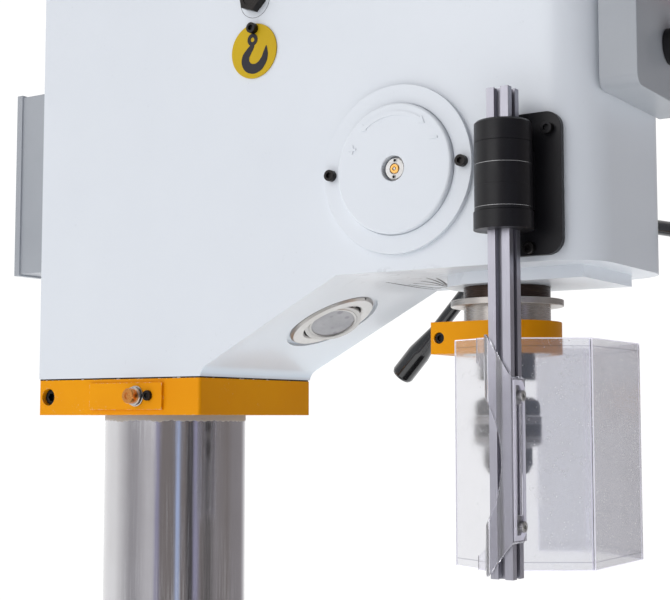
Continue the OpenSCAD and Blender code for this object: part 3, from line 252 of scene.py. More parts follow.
makeCamera(cameraView)
makeSky(studio)
makeFloor(studio)
addAreaLight("keyLight", **studio["key"])
bpy.context.scene.view_settings.view_transform = "Standard"

print("stage: shared surface effects")


def newGroup(name, inputs, outputs):
    group = bpy.data.node_groups.new(name, "ShaderNodeTree")
    for label, kind, value in inputs:
        socket = group.interface.new_socket(name=label, in_out="INPUT", socket_type=kind)
        socket.default_value = value
    for label, kind in outputs:
        group.interface.new_socket(name=label, in_out="OUTPUT", socket_type=kind)
    start = group.nodes.new("NodeGroupInput")
    end = group.nodes.new("NodeGroupOutput")
    return group, start, end


def makePaintSkin():
    # Slow colour drift, orange peel, and small chips, from the place on the piece
    group, start, end = newGroup(
        "paintSkin",
        [("Peel Size", "NodeSocketFloat", 300.0), ("Chip Amount", "NodeSocketFloat", 0.0)],
        [("Drift", "NodeSocketFloat"), ("Peel", "NodeSocketFloat"), ("Chips", "NodeSocketFloat")],
    )
    place = placeOf(group)
    drift = noiseOf(group, place, 6.0, 4.0)
    peel = noiseOf(group, place, start.outputs["Peel Size"], 2.0, 0.5)
    chipNoise = noiseOf(group, place, 260.0, 5.0, 0.7)
    chipField = noiseOf(group, place, 24.0, 2.0)
    spots, regions = addRange(group, chipNoise, 0.62, 0.7), addRange(group, chipField, 0.55, 0.62)
    chips = product(group, spots, regions, start.outputs["Chip Amount"])
    group.links.new(addRange(group, drift, 0.3, 0.7), end.inputs["Drift"])
    group.links.new(peel, end.inputs["Peel"])
    group.links.new(chips, end.inputs["Chips"])
    return group


def makeEdgeWear():
    # 1 on worn outer edges, broken up by noise
    group, start, end = newGroup(
        "edgeWear",
        [("Width", "NodeSocketFloat", 0.002), ("Break Up", "NodeSocketFloat", 180.0)],
        [("Worn", "NodeSocketFloat")],
    )
    bevel = group.nodes.new("ShaderNodeBevel")
    bevel.samples = 4
    group.links.new(start.outputs["Width"], bevel.inputs["Radius"])
    shape = group.nodes.new("ShaderNodeNewGeometry")
    dot = group.nodes.new("ShaderNodeVectorMath")
    dot.operation = "DOT_PRODUCT"
    group.links.new(bevel.outputs["Normal"], dot.inputs[0])
    group.links.new(shape.outputs["Normal"], dot.inputs[1])
    edge = addRange(group, dot.outputs["Value"], 0.97, 0.8)
    crumbs = noiseOf(group, placeOf(group), start.outputs["Break Up"], 4.0, 0.5)
    worn = product(group, edge, addRange(group, crumbs, 0.52, 0.6))
    group.links.new(worn, end.inputs["Worn"])
    return group


def makeMetalGrain():
    # Fine scratches along one direction, with stains
    group, start, end = newGroup(
        "metalGrain",
        [("Direction", "NodeSocketVector", (1.0, 1.0, 0.02)), ("Scale", "NodeSocketFloat", 900.0)],
        [("Grain", "NodeSocketFloat"), ("Stain", "NodeSocketFloat")],
    )
    place = placeOf(group)
    along = stretched(group, place, start.outputs["Direction"])
    grain = noiseOf(group, along, start.outputs["Scale"], 3.0, 0.5)
    stain = noiseOf(group, place, 14.0, 5.0, 0.6)
    group.links.new(grain, end.inputs["Grain"])
    group.links.new(addRange(group, stain, 0.35, 0.7), end.inputs["Stain"])
    return group


def makeDust():
    # Small scattered specks
    group, start, end = newGroup(
        "dustSpecks",
        [("Size", "NodeSocketFloat", 500.0), ("Amount", "NodeSocketFloat", 0.5)],
        [("Specks", "NodeSocketFloat")],
    )
    cells = group.nodes.new("ShaderNodeTexVoronoi")
    group.links.new(placeOf(group), cells.inputs["Vector"])
    group.links.new(start.outputs["Size"], cells.inputs["Scale"])
    near = addRange(group, cells.outputs["Distance"], 0.22, 0.1)
    cover = addRange(group, noiseOf(group, placeOf(group), 90.0, 3.0), 0.45, 0.62)
    group.links.new(product(group, near, cover, start.outputs["Amount"]), end.inputs["Specks"])
    return group


paintSkin = makePaintSkin()
edgeWear = makeEdgeWear()
metalGrain = makeMetalGrain()
dustSpecks = makeDust()


def useGroup(tree, group, **inputs):
    node = tree.nodes.new("ShaderNodeGroup")
    node.node_tree = group
    return setInputs(node, inputs)


def newMaterial(name, **sockets):
    material = bpy.data.materials.new(name)
    material.use_nodes = True
    tree = material.node_tree
    return material, tree, setInputs(tree.nodes["Principled BSDF"], sockets)


def linkBump(tree, shader, height, strength, distance):
    bump = addNode(tree, "ShaderNodeBump", Strength=strength, Distance=distance)
    tree.links.new(height, bump.inputs["Height"])
    tree.links.new(bump.outputs["Normal"], shader.inputs["Normal"])


print("stage: materials")


def makePaint(name, base, drift, chip, rough, peelSize=320.0, peel=0.12, chips=0.0, worn=0.0, coat=0.2,
              shine=0.5):
    skinLook = {"Coat_Weight": coat, "Coat_Roughness": 0.12, "Specular_IOR_Level": shine}
    material, tree, shader = newMaterial(name, **skinLook)
    skin = useGroup(tree, paintSkin, Peel_Size=peelSize, Chip_Amount=chips)
    colour = addMix(tree, skin.outputs["Drift"], base, drift)
    mask = skin.outputs["Chips"]
    if worn > 0:
        wear = useGroup(tree, edgeWear, Width=worn)
        mask = addMath(tree, "MAXIMUM", mask, wear.outputs["Worn"])
    colour = addMix(tree, mask, colour, chip)
    tree.links.new(colour, shader.inputs["Base Color"])
    spread = addRange(tree, skin.outputs["Drift"], 0, 1, rough, rough + 0.08)
    tree.links.new(spread, shader.inputs["Roughness"])
    linkBump(tree, shader, skin.outputs["Peel"], peel, 0.0006)
    return material


def makeMetal(name, base, stainColour, rough, direction=(1.0, 1.0, 0.02), scale=900.0, bump=0.05,
              metallic=1.0):
    material, tree, shader = newMaterial(name, Metallic=metallic)
    grain = useGroup(tree, metalGrain, Direction=direction, Scale=scale)
    colour = addMix(tree, grain.outputs["Stain"], base, stainColour)
    tree.links.new(colour, shader.inputs["Base Color"])
    spread = addRange(tree, grain.outputs["Grain"], 0.3, 0.7, rough - 0.06, rough + 0.1)
    tree.links.new(spread, shader.inputs["Roughness"])
    linkBump(tree, shader, grain.outputs["Grain"], bump, 0.0002)
    return material


def makePlastic(name, base, dusty, rough, bump=0.08, dust=0.3, coat=0.0, shine=0.5):
    skinLook = {"Coat_Weight": coat, "Coat_Roughness": 0.08, "Specular_IOR_Level": shine}
    material, tree, shader = newMaterial(name, **skinLook)
    place = placeOf(tree)
    fine = noiseOf(tree, place, 1400.0, 2.0)
    specks = useGroup(tree, dustSpecks, Size=700.0, Amount=dust)
    colour = addMix(tree, specks.outputs["Specks"], base, dusty)
    tree.links.new(colour, shader.inputs["Base Color"])
    spread = addRange(tree, noiseOf(tree, place, 30.0, 4.0), 0.3, 0.7, rough - 0.05, rough + 0.12)
    tree.links.new(spread, shader.inputs["Roughness"])
    linkBump(tree, shader, fine, bump, 0.0002)
    return material


paints = {
    "white": dict(base=(0.70, 0.735, 0.78), drift=(0.675, 0.71, 0.757), chip=(0.42, 0.44, 0.47), rough=0.38,
                  peelSize=260.0, peel=0.06, chips=0.25, coat=0.25),
    "cast": dict(base=(0.70, 0.73, 0.77), drift=(0.62, 0.65, 0.69), chip=(0.3, 0.31, 0.33), rough=0.45,
                 peelSize=170.0, peel=0.3, chips=0.8, worn=0.002),
    "orange": dict(base=(0.82, 0.335, 0.0), drift=(0.74, 0.265, 0.0), chip=(0.72, 0.66, 0.52), rough=0.4,
                   peelSize=150.0, peel=0.2, chips=0.35, worn=0.0008, coat=0.0, shine=0.12),
    "grey": dict(base=(0.36, 0.38, 0.41), drift=(0.31, 0.33, 0.36), chip=(0.2, 0.2, 0.2), rough=0.45,
                 peel=0.2),
    "motor": dict(base=(0.10, 0.115, 0.135), drift=(0.075, 0.085, 0.10), chip=(0.3, 0.3, 0.3), rough=0.42,
                  peelSize=200.0, peel=0.3, chips=0.5, worn=0.0008),
    "flake": dict(base=(0.46, 0.465, 0.45), drift=(0.33, 0.33, 0.315), chip=(0.18, 0.18, 0.17), rough=0.5,
                  peelSize=500.0, peel=0.3, chips=0.6, coat=0.0),
    "scrape": dict(base=(0.12, 0.125, 0.135), drift=(0.05, 0.05, 0.055), chip=(0.55, 0.56, 0.58), rough=0.6,
                   peelSize=900.0, peel=0.4, chips=1.0, coat=0.0, shine=0.2),
    "yellow": dict(base=(0.62, 0.42, 0.008), drift=(0.52, 0.34, 0.008), chip=(0.40, 0.27, 0.03), rough=0.45,
                   peel=0.1, coat=0.0, shine=0.2),
}
# scratches the same in all directions, or round an upright bar; those not named run along it
even, around = (1.0, 1.0, 1.0), (0.02, 0.02, 1.0)
metals = {
    "ground": dict(base=(0.60, 0.595, 0.615), stainColour=(0.555, 0.545, 0.56), rough=0.10, scale=700.0,
                   bump=0.008),
    "turned": dict(base=(0.55, 0.53, 0.51), stainColour=(0.36, 0.33, 0.30), rough=0.3, direction=around,
                   scale=1500.0),
    "dark": dict(base=(0.16, 0.15, 0.14), stainColour=(0.08, 0.075, 0.07), rough=0.38, direction=even,
                 scale=600.0),
    "blued": dict(base=(0.06, 0.056, 0.058), stainColour=(0.03, 0.028, 0.03), rough=0.32, direction=around,
                  scale=1200.0),
    "black": dict(base=(0.022, 0.022, 0.024), stainColour=(0.05, 0.045, 0.04), rough=0.38, direction=even,
                  scale=800.0),
    "zinc": dict(base=(0.60, 0.60, 0.60), stainColour=(0.43, 0.42, 0.40), rough=0.3, direction=even,
                 scale=500.0),
    "iron": dict(base=(0.36, 0.36, 0.365), stainColour=(0.22, 0.21, 0.2), rough=0.34,
                 direction=(0.03, 1.0, 1.0), scale=700.0, bump=0.12),
    "nickel": dict(base=(0.53, 0.52, 0.51), stainColour=(0.46, 0.44, 0.42), rough=0.34,
                   direction=(1.0, 0.2, 0.2), scale=900.0),
    "anodised": dict(base=(0.41, 0.405, 0.46), stainColour=(0.36, 0.355, 0.40), rough=0.33, scale=1300.0,
                     metallic=0.92),
    "satin": dict(base=(0.45, 0.45, 0.46), stainColour=(0.3, 0.3, 0.3), rough=0.25, direction=even),
    "brass": dict(base=(0.85, 0.5, 0.16), stainColour=(0.7, 0.36, 0.1), rough=0.3, direction=even),
    "copper": dict(base=(0.80, 0.36, 0.10), stainColour=(0.6, 0.25, 0.07), rough=0.3, direction=even),
}
plastics = {
    "black": dict(base=(0.0065, 0.0062, 0.008), dusty=(0.06, 0.06, 0.065), rough=0.34, shine=0.3),
    "gloss": dict(base=(0.008, 0.008, 0.009), dusty=(0.06, 0.06, 0.06), rough=0.16, bump=0.02, dust=0.15,
                  coat=0.6),
    "print": dict(base=(0.026, 0.025, 0.031), dusty=(0.05, 0.05, 0.055), rough=0.55, shine=0.25),
    "green": dict(base=(0.02, 0.28, 0.06), dusty=(0.1, 0.3, 0.12), rough=0.3, coat=0.3),
    "red": dict(base=(0.55, 0.015, 0.012), dusty=(0.5, 0.1, 0.1), rough=0.28, coat=0.3),
}
paint = {name: makePaint(name + "Paint", **values) for name, values in paints.items()}
steels = ("ground", "turned", "dark", "black")
metal = {}
for name, values in metals.items():
    metal[name] = makeMetal(name + ("Steel" if name in steels else "Metal"), **values)
plastic = {name: makePlastic(name + "Plastic", **values) for name, values in plastics.items()}

# clear plastic: share of light that passes, dust on it, and a painted glow at the edges, given as emission
clears = {
    "sheet": dict(tint=(0.80, 0.80, 0.83), rough=0.07, specks=0.5, through=0.93, rim=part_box("guard_screen")),
    "moulding": dict(tint=(0.965, 0.96, 1.0), rough=0.03, specks=0.1, through=0.9),
    "edge": dict(tint=(0.92, 0.91, 0.97), rough=0.2, specks=0.1, through=0.25, paintedGlow=0.34),
    "rim": dict(tint=(0.80, 0.79, 0.86), rough=0.15, specks=0.2, through=0.5, paintedGlow=0.1),
}
clearLook = {
    "bend": 1.5,  # index of refraction
    "dusty": (0.62, 0.63, 0.65),
    "rimColour": (0.55, 0.55, 0.6), "rimIn": 0.007,
    "glowColour": (0.80, 0.78, 0.90, 1),  # painted glow: emission that stands in for light the sheet leads to its edges
}


def makeClear(name, tint, rough, specks, through, rim=None, paintedGlow=0.0):
    look = clearLook
    material, tree, shader = newMaterial(name, Transmission_Weight=through, IOR=look["bend"])
    dust = useGroup(tree, dustSpecks, Size=420.0, Amount=specks)
    haze = noiseOf(tree, placeOf(tree), 40.0, 5.0, 0.65)
    colour = addMix(tree, dust.outputs["Specks"], tint, look["dusty"])
    if rim:
        # moulded line a little inside the upper and lower edge
        middle, half = (rim[0][2] + rim[1][2]) / 2, (rim[1][2] - rim[0][2]) / 2
        far = awayFrom(tree, splitOf(tree, placeOf(tree))["Z"], middle)
        near = awayFrom(tree, far, half - look["rimIn"])
        colour = addMix(tree, addRange(tree, near, 0.0006, 0.0002), colour, look["rimColour"])
    tree.links.new(colour, shader.inputs["Base Color"])
    smeared = addRange(tree, haze, 0.4, 0.75, rough, rough + 0.12)
    spread = addMath(tree, "ADD", smeared, dust.outputs["Specks"])
    tree.links.new(spread, shader.inputs["Roughness"])
    linkBump(tree, shader, haze, 0.03, 0.0004)
    # painted glow: the clear plastic emits light though it is no lamp
    if paintedGlow:
        shader.inputs["Emission Color"].default_value = look["glowColour"]
        shader.inputs["Emission Strength"].default_value = paintedGlow
    return material


clear = {name: makeClear("clear" + name.capitalize(), **values) for name, values in clears.items()}

headLook = {
    "chipColour": (0.42, 0.44, 0.47), "peelSize": 120.0, "chips": 0.2, "rough": (0.36, 0.46),
    # faint casting marks in the paint round the nose: height over the clamp and Y of their middle
    "markUp": 0.0886, "markY": -0.325, "markColour": (0.16, 0.17, 0.19), "markShare": 0.2,
    # painted light: lighter, cooler paint on the downward faces low on the slope, by the height over the clamp
    "coolFrom": 0.06, "coolTo": 0.005, "coolColour": (0.80, 0.90, 1.0),
}


def makeHeadPaint(name, look):
    material, tree, shader = newMaterial(name, Coat_Weight=0.25, Coat_Roughness=0.12)
    skin = useGroup(tree, paintSkin, Peel_Size=look["peelSize"], Chip_Amount=look["chips"])
    place = placeOf(tree)
    parts = splitOf(tree, place)
    colour = addMix(tree, skin.outputs["Drift"], paints["white"]["base"], paints["white"]["drift"])
    nearNose = addRange(tree, awayFrom(tree, parts["Z"], clampTop + look["markUp"]), 0.008, 0.003)
    nearBoss = addRange(tree, awayFrom(tree, parts["Y"], look["markY"]), 0.075, 0.03)
    wave = addNode(tree, "ShaderNodeTexWave", Scale=26.0, Distortion=9.0, Detail=3.0, Detail_Scale=2.2)
    tree.links.new(stretched(tree, place, (0.7, 1.0, 1.0)), wave.inputs["Vector"])
    lines = addRange(tree, wave.outputs["Fac"], 0.84, 0.94)
    broken = addRange(tree, noiseOf(tree, place, 45.0, 2.0), 0.48, 0.56)
    marks = product(tree, nearNose, nearBoss, lines, broken, look["markShare"])
    colour = addMix(tree, marks, colour, look["markColour"])
    # painted light from below on the downward faces of the low slope
    down = splitOf(tree, tree.nodes.new("ShaderNodeNewGeometry").outputs["Normal"])["Z"]
    low = addRange(tree, parts["Z"], clampTop + look["coolFrom"], clampTop + look["coolTo"])
    colour = addMix(tree, product(tree, addRange(tree, down, -0.15, -0.4), low), colour, look["coolColour"])
    colour = addMix(tree, skin.outputs["Chips"], colour, look["chipColour"])
    tree.links.new(colour, shader.inputs["Base Color"])
    tree.links.new(addRange(tree, skin.outputs["Drift"], 0, 1, *look["rough"]), shader.inputs["Roughness"])
    linkBump(tree, shader, skin.outputs["Peel"], 0.12, 0.001)
    return material


lensLook = {"light": (0.40, 0.40, 0.42), "dim": (0.31, 0.31, 0.335), "diode": (0.20, 0.19, 0.22)}


def makeLens(name, look):
    # Frosted lens with the diodes showing faintly behind it
    material, tree, shader = newMaterial(name, Coat_Weight=0.5, Coat_Roughness=0.1)
    place = placeOf(tree)
    cells = addNode(tree, "ShaderNodeTexVoronoi", Scale=85.0, Randomness=0.55)
    tree.links.new(place, cells.inputs["Vector"])
    spots = product(tree, addRange(tree, cells.outputs["Distance"], 0.3, 0.18), 0.6)
    colour = addMix(tree, addRange(tree, noiseOf(tree, place, 60.0), 0.35, 0.65), look["light"], look["dim"])
    tree.links.new(addMix(tree, spots, colour, look["diode"]), shader.inputs["Base Color"])
    spread = addRange(tree, noiseOf(tree, place, 200.0), 0.3, 0.7, 0.3, 0.42)
    tree.links.new(spread, shader.inputs["Roughness"])
    linkBump(tree, shader, cells.outputs["Distance"], 0.12, 0.0006)
    return material


quillLook = {
    "steel": (0.52, 0.50, 0.48), "steelStain": (0.36, 0.33, 0.30),
    # dark brown above the stop ring: painted shade under the nose boss
    "oil": (0.055, 0.036, 0.028), "oilStain": (0.022, 0.016, 0.014),
    "edge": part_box("quill_ring")[1][2], "ragged": 0.002, "fade": 0.0015,
}


def makeQuillSteel(name, look):
    # Bright ground steel below the stop ring, dark brown painted shade above it, under the nose boss
    material, tree, shader = newMaterial(name, Metallic=0.9)
    grain = useGroup(tree, metalGrain, Direction=around, Scale=1500.0)
    place = placeOf(tree)
    height = splitOf(tree, place)["Z"]
    ragged = product(tree, noiseOf(tree, place, 120.0), look["ragged"])
    shadeMask = addRange(tree, addMath(tree, "ADD", height, ragged), look["edge"], look["edge"] + look["fade"])
    steel = addMix(tree, grain.outputs["Stain"], look["steel"], look["steelStain"])
    oil = addMix(tree, grain.outputs["Stain"], look["oil"], look["oilStain"])
    tree.links.new(addMix(tree, shadeMask, steel, oil), shader.inputs["Base Color"])
    tree.links.new(addRange(tree, grain.outputs["Grain"], 0.3, 0.7, 0.2, 0.34), shader.inputs["Roughness"])
    linkBump(tree, shader, grain.outputs["Grain"], 0.05, 0.0002)
    return material


chuckLook = {
    "dark": (0.07, 0.066, 0.068), "darkStain": (0.03, 0.028, 0.03), "light": (0.30, 0.29, 0.29),
    "top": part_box("chuck_body")[1][2], "smooth": [(0.0155, 0.0245), (0.035, 0.047)],  # bands below the top
}


def makeChuckSteel(name, look):
    # Dark knurled rings with smoother, lighter rings between them
    material, tree, shader = newMaterial(name, Metallic=0.9)
    grain = useGroup(tree, metalGrain, Direction=(1.0, 1.0, 0.4), Scale=620.0)
    down = addMath(tree, "SUBTRACT", look["top"], splitOf(tree, placeOf(tree))["Z"])
    bands = []
    for start, end in look["smooth"]:
        opens, closes = addRange(tree, down, start, start + 0.0004), addRange(tree, down, end, end - 0.0004)
        bands.append(product(tree, opens, closes))
    light = addMath(tree, "MAXIMUM", *bands)
    dark = addMix(tree, grain.outputs["Stain"], look["dark"], look["darkStain"])
    tree.links.new(addMix(tree, light, dark, look["light"]), shader.inputs["Base Color"])
    tree.links.new(addRange(tree, grain.outputs["Grain"], 0.3, 0.7, 0.26, 0.44), shader.inputs["Roughness"])
    knurl = product(tree, grain.outputs["Grain"], addRange(tree, light, 1.0, 0.0))
    linkBump(tree, shader, knurl, 0.45, 0.0004)
    return material


paint["head"] = makeHeadPaint("headPaint", headLook)
chuckSteel = makeChuckSteel("chuckSteel", chuckLook)
lampLens = makeLens("lampLens", lensLook)
quillSteel = makeQuillSteel("quillSteel", quillLook)

# material of each CAD node
finishes = {
    "base": paint["cast"], "column_flange": paint["cast"], "rack_ring": paint["cast"],
    "table_bracket": paint["cast"], "head_casting": paint["white"], "gearbox_lid": paint["white"],
    "spring_housing_ring": paint["white"], "spring_housing": paint["white"], "column_clamp": paint["orange"],
    "quill_collar": paint["orange"], "motor": paint["motor"], "terminal_box": paint["motor"],
    "control_panel": paint["grey"], "electrical_box": paint["grey"], "lifting_sign": paint["yellow"],
    "column": metal["ground"], "feed_arms": metal["ground"], "hex_bolts": metal["black"],
    "head_screws": metal["black"], "collar_screw": metal["black"], "feed_hub": metal["black"],
    "clamp_fasteners": metal["zinc"], "guard_screws": metal["zinc"], "table_crank": metal["zinc"],
    "return_spring": metal["dark"], "table_rack": metal["dark"], "table_pinion": metal["dark"],
    "depth_rod": metal["dark"], "chuck_jaws": metal["dark"], "feed_bearing": metal["turned"],
    "quill_ring": metal["turned"], "spindle_gear": metal["turned"], "idler_gear": metal["turned"],
    "motor_pinion": metal["turned"], "feed_shaft": metal["turned"], "spindle": metal["blued"],
    "drill_table": metal["iron"], "lamp_ring": metal["nickel"], "lamp_gimbal": metal["nickel"],
    "guard_profile": metal["anodised"], "quill": quillSteel, "chuck_body": chuckSteel,
    "chuck_sleeve": chuckSteel, "motor_fan_cover": plastic["black"], "spindle_cap": plastic["black"],
    "guard_mount": plastic["black"], "guard_barrel": plastic["black"], "guard_rotor": plastic["black"],
    "cable_gland": plastic["black"], "crank_grip": plastic["black"], "table_lock_lever": plastic["black"],
    "speed_knob": plastic["black"], "feed_grips": plastic["gloss"], "start_button": plastic["green"],
    "stop_button": plastic["red"], "emergency_stop": plastic["red"], "main_switch": plastic["red"],
    "guard_bracket": clear["moulding"], "guard_screen": clear["sheet"], "lamp_bulb": lampLens,
}
# width of the rounded edges of CAD nodes, in metres
roundings = {
    "head_casting": 0.005, "column_clamp": 0.0022, "base": 0.005, "column_flange": 0.0015,
    "gearbox_lid": 0.003, "motor": 0.0008, "motor_fan_cover": 0.002, "terminal_box": 0.003,
    "control_panel": 0.003, "electrical_box": 0.002, "table_bracket": 0.004, "drill_table": 0.002,
    "rack_ring": 0.0015, "quill_collar": 0.0012, "quill_ring": 0.0006, "guard_mount": 0.0015,
    "guard_barrel": 0.0006, "guard_rotor": 0.001, "guard_profile": 0.0003, "spring_housing_ring": 0.0012,
    "spring_housing": 0.001, "head_screws": 0.0006, "hex_bolts": 0.0008, "clamp_fasteners": 0.0004,
    "collar_screw": 0.0005, "lamp_ring": 0.0005, "lamp_gimbal": 0.0006, "feed_hub": 0.001,
    "feed_grips": 0.0006, "chuck_sleeve": 0.0006, "chuck_body": 0.0006, "spindle": 0.0006,
    "depth_rod": 0.0004, "table_crank": 0.0015, "lifting_sign": 0.0003, "cable_gland": 0.0006,
    "main_switch": 0.001, "speed_knob": 0.0008, "emergency_stop": 0.001, "start_button": 0.0008,
    "stop_button": 0.0008, "guard_bracket": 0.0006, "guard_screen": 0.0009, "guard_screws": 0.0004,
    "spindle_cap": 0.0012, "table_lock_lever": 0.001, "crank_grip": 0.001,
}
# the screen's bevelled edges get the clear edge material with its painted glow
brightEdges = {"guard_screen": clear["edge"]}


def roundEdges(piece, width, edgeSlot=-1):
    weld = piece.modifiers.new("joinFaces", "WELD")
    weld.merge_threshold = 0.00002
    flat = piece.modifiers.new("joinFlats", "DECIMATE")
    flat.decimate_type = "DISSOLVE"
    flat.angle_limit = math.radians(0.5)
    bevel = piece.modifiers.new("roundEdges", "BEVEL")
    bevel.width = width
    bevel.segments = 3
    bevel.limit_method = "ANGLE"
    bevel.angle_limit = math.radians(30)
    bevel.material = edgeSlot
    normals = piece.modifiers.new("evenShade", "WEIGHTED_NORMAL")
    normals.keep_sharp = True


def dress():
    for name, piece in nodes.items():
        for index in range(max(1, len(piece.material_slots))):
            if index >= len(piece.material_slots):
                piece.data.materials.append(None)
            piece.material_slots[index].link = "OBJECT"
            piece.material_slots[index].material = finishes[name]
        slot = -1
        if name in brightEdges:
            slot = len(piece.material_slots)
            piece.data.materials.append(None)
            piece.material_slots[slot].link = "OBJECT"
            piece.material_slots[slot].material = brightEdges[name]
        if name in roundings:
            roundEdges(piece, roundings[name], slot)


dress()

print("stage: shape helpers")


def linkPiece(name, mesh, material, body, smooth=35.0):
    mesh.validate()
    mesh.polygons.foreach_set("use_smooth", [True] * len(mesh.polygons))
    mesh.set_sharp_from_angle(angle=math.radians(smooth))
    if material is not None:
        mesh.materials.append(material)
    piece = bpy.data.objects.new(name, mesh)
    bpy.context.scene.collection.objects.link(piece)
    if body is not None:
        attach(piece, body)
    return piece


def meshFrom(name, points, faces):
    mesh = bpy.data.meshes.new(name)
    mesh.from_pydata(points, [], faces)
    mesh.update()
    return mesh


def onLeft(y, z, x):
    # Frame of the left face: right is -Y, up is +Z, out is -X
    return Matrix(((0, 0, -1, x), (-1, 0, 0, y), (0, 1, 0, z), (0, 0, 0, 1)))


def upright(x, y, z):
    return Matrix.Translation((x, y, z))


def latheMesh(name, rings, place, steps=72, radius=None, ends=True):
    # rings: (radius, height) from the outside in; radius() may change them by angle
    # without ends, the last ring joins the first, as in a washer
    points = []
    for number, (r, h) in enumerate(rings):
        for step in range(steps):
            angle = 2 * math.pi * step / steps
            far = radius(number, r, angle) if radius else r
            points.append(place @ Vector((far * math.cos(angle), far * math.sin(angle), h)))
    faces = []
    for ring in range(len(rings) - 1):
        for step in range(steps):
            after = (step + 1) % steps
            low = ring * steps
            faces.append((low + step, low + after, low + steps + after, low + steps + step))
    last = (len(rings) - 1) * steps
    if ends:
        faces.append(tuple(range(last, last + steps)))
        faces.append(tuple(reversed(range(steps))))
    else:
        for step in range(steps):
            after = (step + 1) % steps
            faces.append((last + step, last + after, after, step))
    if place.determinant() < 0:
        faces = [face[::-1] for face in faces]
    return meshFrom(name, points, faces)


def prism(name, lower, upper):
    # Closed shape between two outlines
    count = len(lower)
    faces = [tuple(reversed(range(count))), tuple(range(count, 2 * count))]
    for i in range(count):
        j = (i + 1) % count
        faces.append((i, j, count + j, count + i))
    return meshFrom(name, lower + upper, faces)


def prismUp(name, outline, low, high):
    return prism(name, [(x, y, low) for x, y in outline], [(x, y, high) for x, y in outline])


def prismAlongX(name, outline, half):
    return prism(name, [(half, y, z) for y, z in outline], [(-half, y, z) for y, z in outline])


def flatMesh(name, outline, thick, place):
    return prism(name, *([place @ Vector((x, y, z)) for x, y in outline] for z in (0, thick)))


def ribbonOutline(path, widths):
    left, right = [], []
    for i, (x, y) in enumerate(path):
        x0, y0 = path[max(i - 1, 0)]
        x1, y1 = path[min(i + 1, len(path) - 1)]
        along = Vector((x1 - x0, y1 - y0)).normalized()
        w = widths[i] / 2
        left.append((x - along.y * w, y + along.x * w))
        right.append((x + along.y * w, y - along.x * w))
    return right + left[::-1]


def smoothPath(points, widths, per=6):
    # Catmull-Rom through the points, so that few points give a soft curve
    def between(a, b, c, d, t):
        bend, twist = 2 * a - 5 * b + 4 * c - d, 3 * b - a - 3 * c + d
        return 0.5 * (2 * b + (c - a) * t + bend * t * t + twist * t ** 3)
    path, wide = [], []
    last = len(points) - 1
    for i in range(last):
        near = points[max(i - 1, 0)], points[i], points[i + 1], points[min(i + 2, last)]
        for step in range(per):
            t = step / per
            path.append(tuple(between(*axis, t) for axis in zip(*near)))
            wide.append(widths[i] + (widths[i + 1] - widths[i]) * t)
    path.append(tuple(points[last]))
    wide.append(widths[last])
    return path, wide


def scaled(pairs, factor=0.001):
    return [(x * factor, y * factor) for x, y in pairs]


def polar(reach, degrees):
    turn = math.radians(degrees)
    return reach * math.cos(turn), reach * math.sin(turn)


def linkLathe(name, rings, place, steps, material, body, smooth=35.0, radius=None, ends=True):
    return linkPiece(name, latheMesh(name, rings, place, steps, radius, ends), material, body, smooth)


print("stage: head casting")

headShape = {
    "foot": 0.0015,  # gap above the clamp, filled by a black slab that is painted shade of the seam
    "past": 0.02,  # how far the cutting shapes reach beyond the casting
    "lip": 0.008,
    "fillet": 0.014,
    "slopeEnd": -0.270,
    "noseZ": clampTop + 0.0916,
    "cornerRadius": 0.045,
    "edge": 0.0055,
    "bossDrop": 0.011, "bossRadius": 0.055, "bossFront": 0.025,
    "spindleY": -0.397, "boreRadius": 0.0402,
    "lampY": -0.203, "lampSeat": 0.0495, "lampBore": 0.0345,
    # share of the rounding for low and bored edges, and for the rim of the boss
    "crisp": 0.12, "soft": 0.35,
}


def headProfile(shape):
    # The space under the nose, as the cutter's outline in Y and Z
    rear, nose, lip, fillet, past = -headHigh[1], shape["noseZ"], shape["lip"], shape["fillet"], shape["past"]
    slope = math.atan2(nose - clampTop - lip, -shape["slopeEnd"] + rear)
    foot = fillet / math.tan(math.radians(45) + slope / 2)
    outline = [(rear, clampTop - past)]
    for step in range(13):
        turn = (math.pi / 2 - slope) * step / 12
        z = clampTop + lip - foot + fillet * math.sin(turn)
        outline.append((rear - fillet * (1 - math.cos(turn)), z))
    ahead = headLow[1] - past
    outline += [(shape["slopeEnd"], nose), (ahead, nose), (ahead, clampTop - past)]
    return outline, slope


def roundPlan(left, right, front, rear, radius, steps=14):
    outline = [(right, rear), (left, rear)]
    for cx, start in ((left + radius, math.pi), (right - radius, 1.5 * math.pi)):
        for step in range(steps + 1):
            turn = start + math.pi / 2 * step / steps
            outline.append((cx + radius * math.cos(turn), front + radius + radius * math.sin(turn)))
    return outline


def bakeShape(piece):
    # The mesh that the modifiers give, as a plain mesh
    shape = piece.evaluated_get(bpy.context.evaluated_depsgraph_get())
    return bpy.data.meshes.new_from_object(shape)


def looseObject(mesh):
    thing = bpy.data.objects.new(mesh.name, mesh)
    bpy.context.scene.collection.objects.link(thing)
    return thing


def carve(body, tools):
    # Each tool cuts or joins in its turn; only the finished mesh is left
    for tool, operation in tools:
        step = body.modifiers.new(operation.lower() + tool.name, "BOOLEAN")
        step.operation = operation
        step.object = tool
        step.solver = "EXACT"
    mesh = bakeShape(body)
    for thing in [tool for tool, operation in tools] + [body]:
        bpy.data.objects.remove(thing)
    return mesh


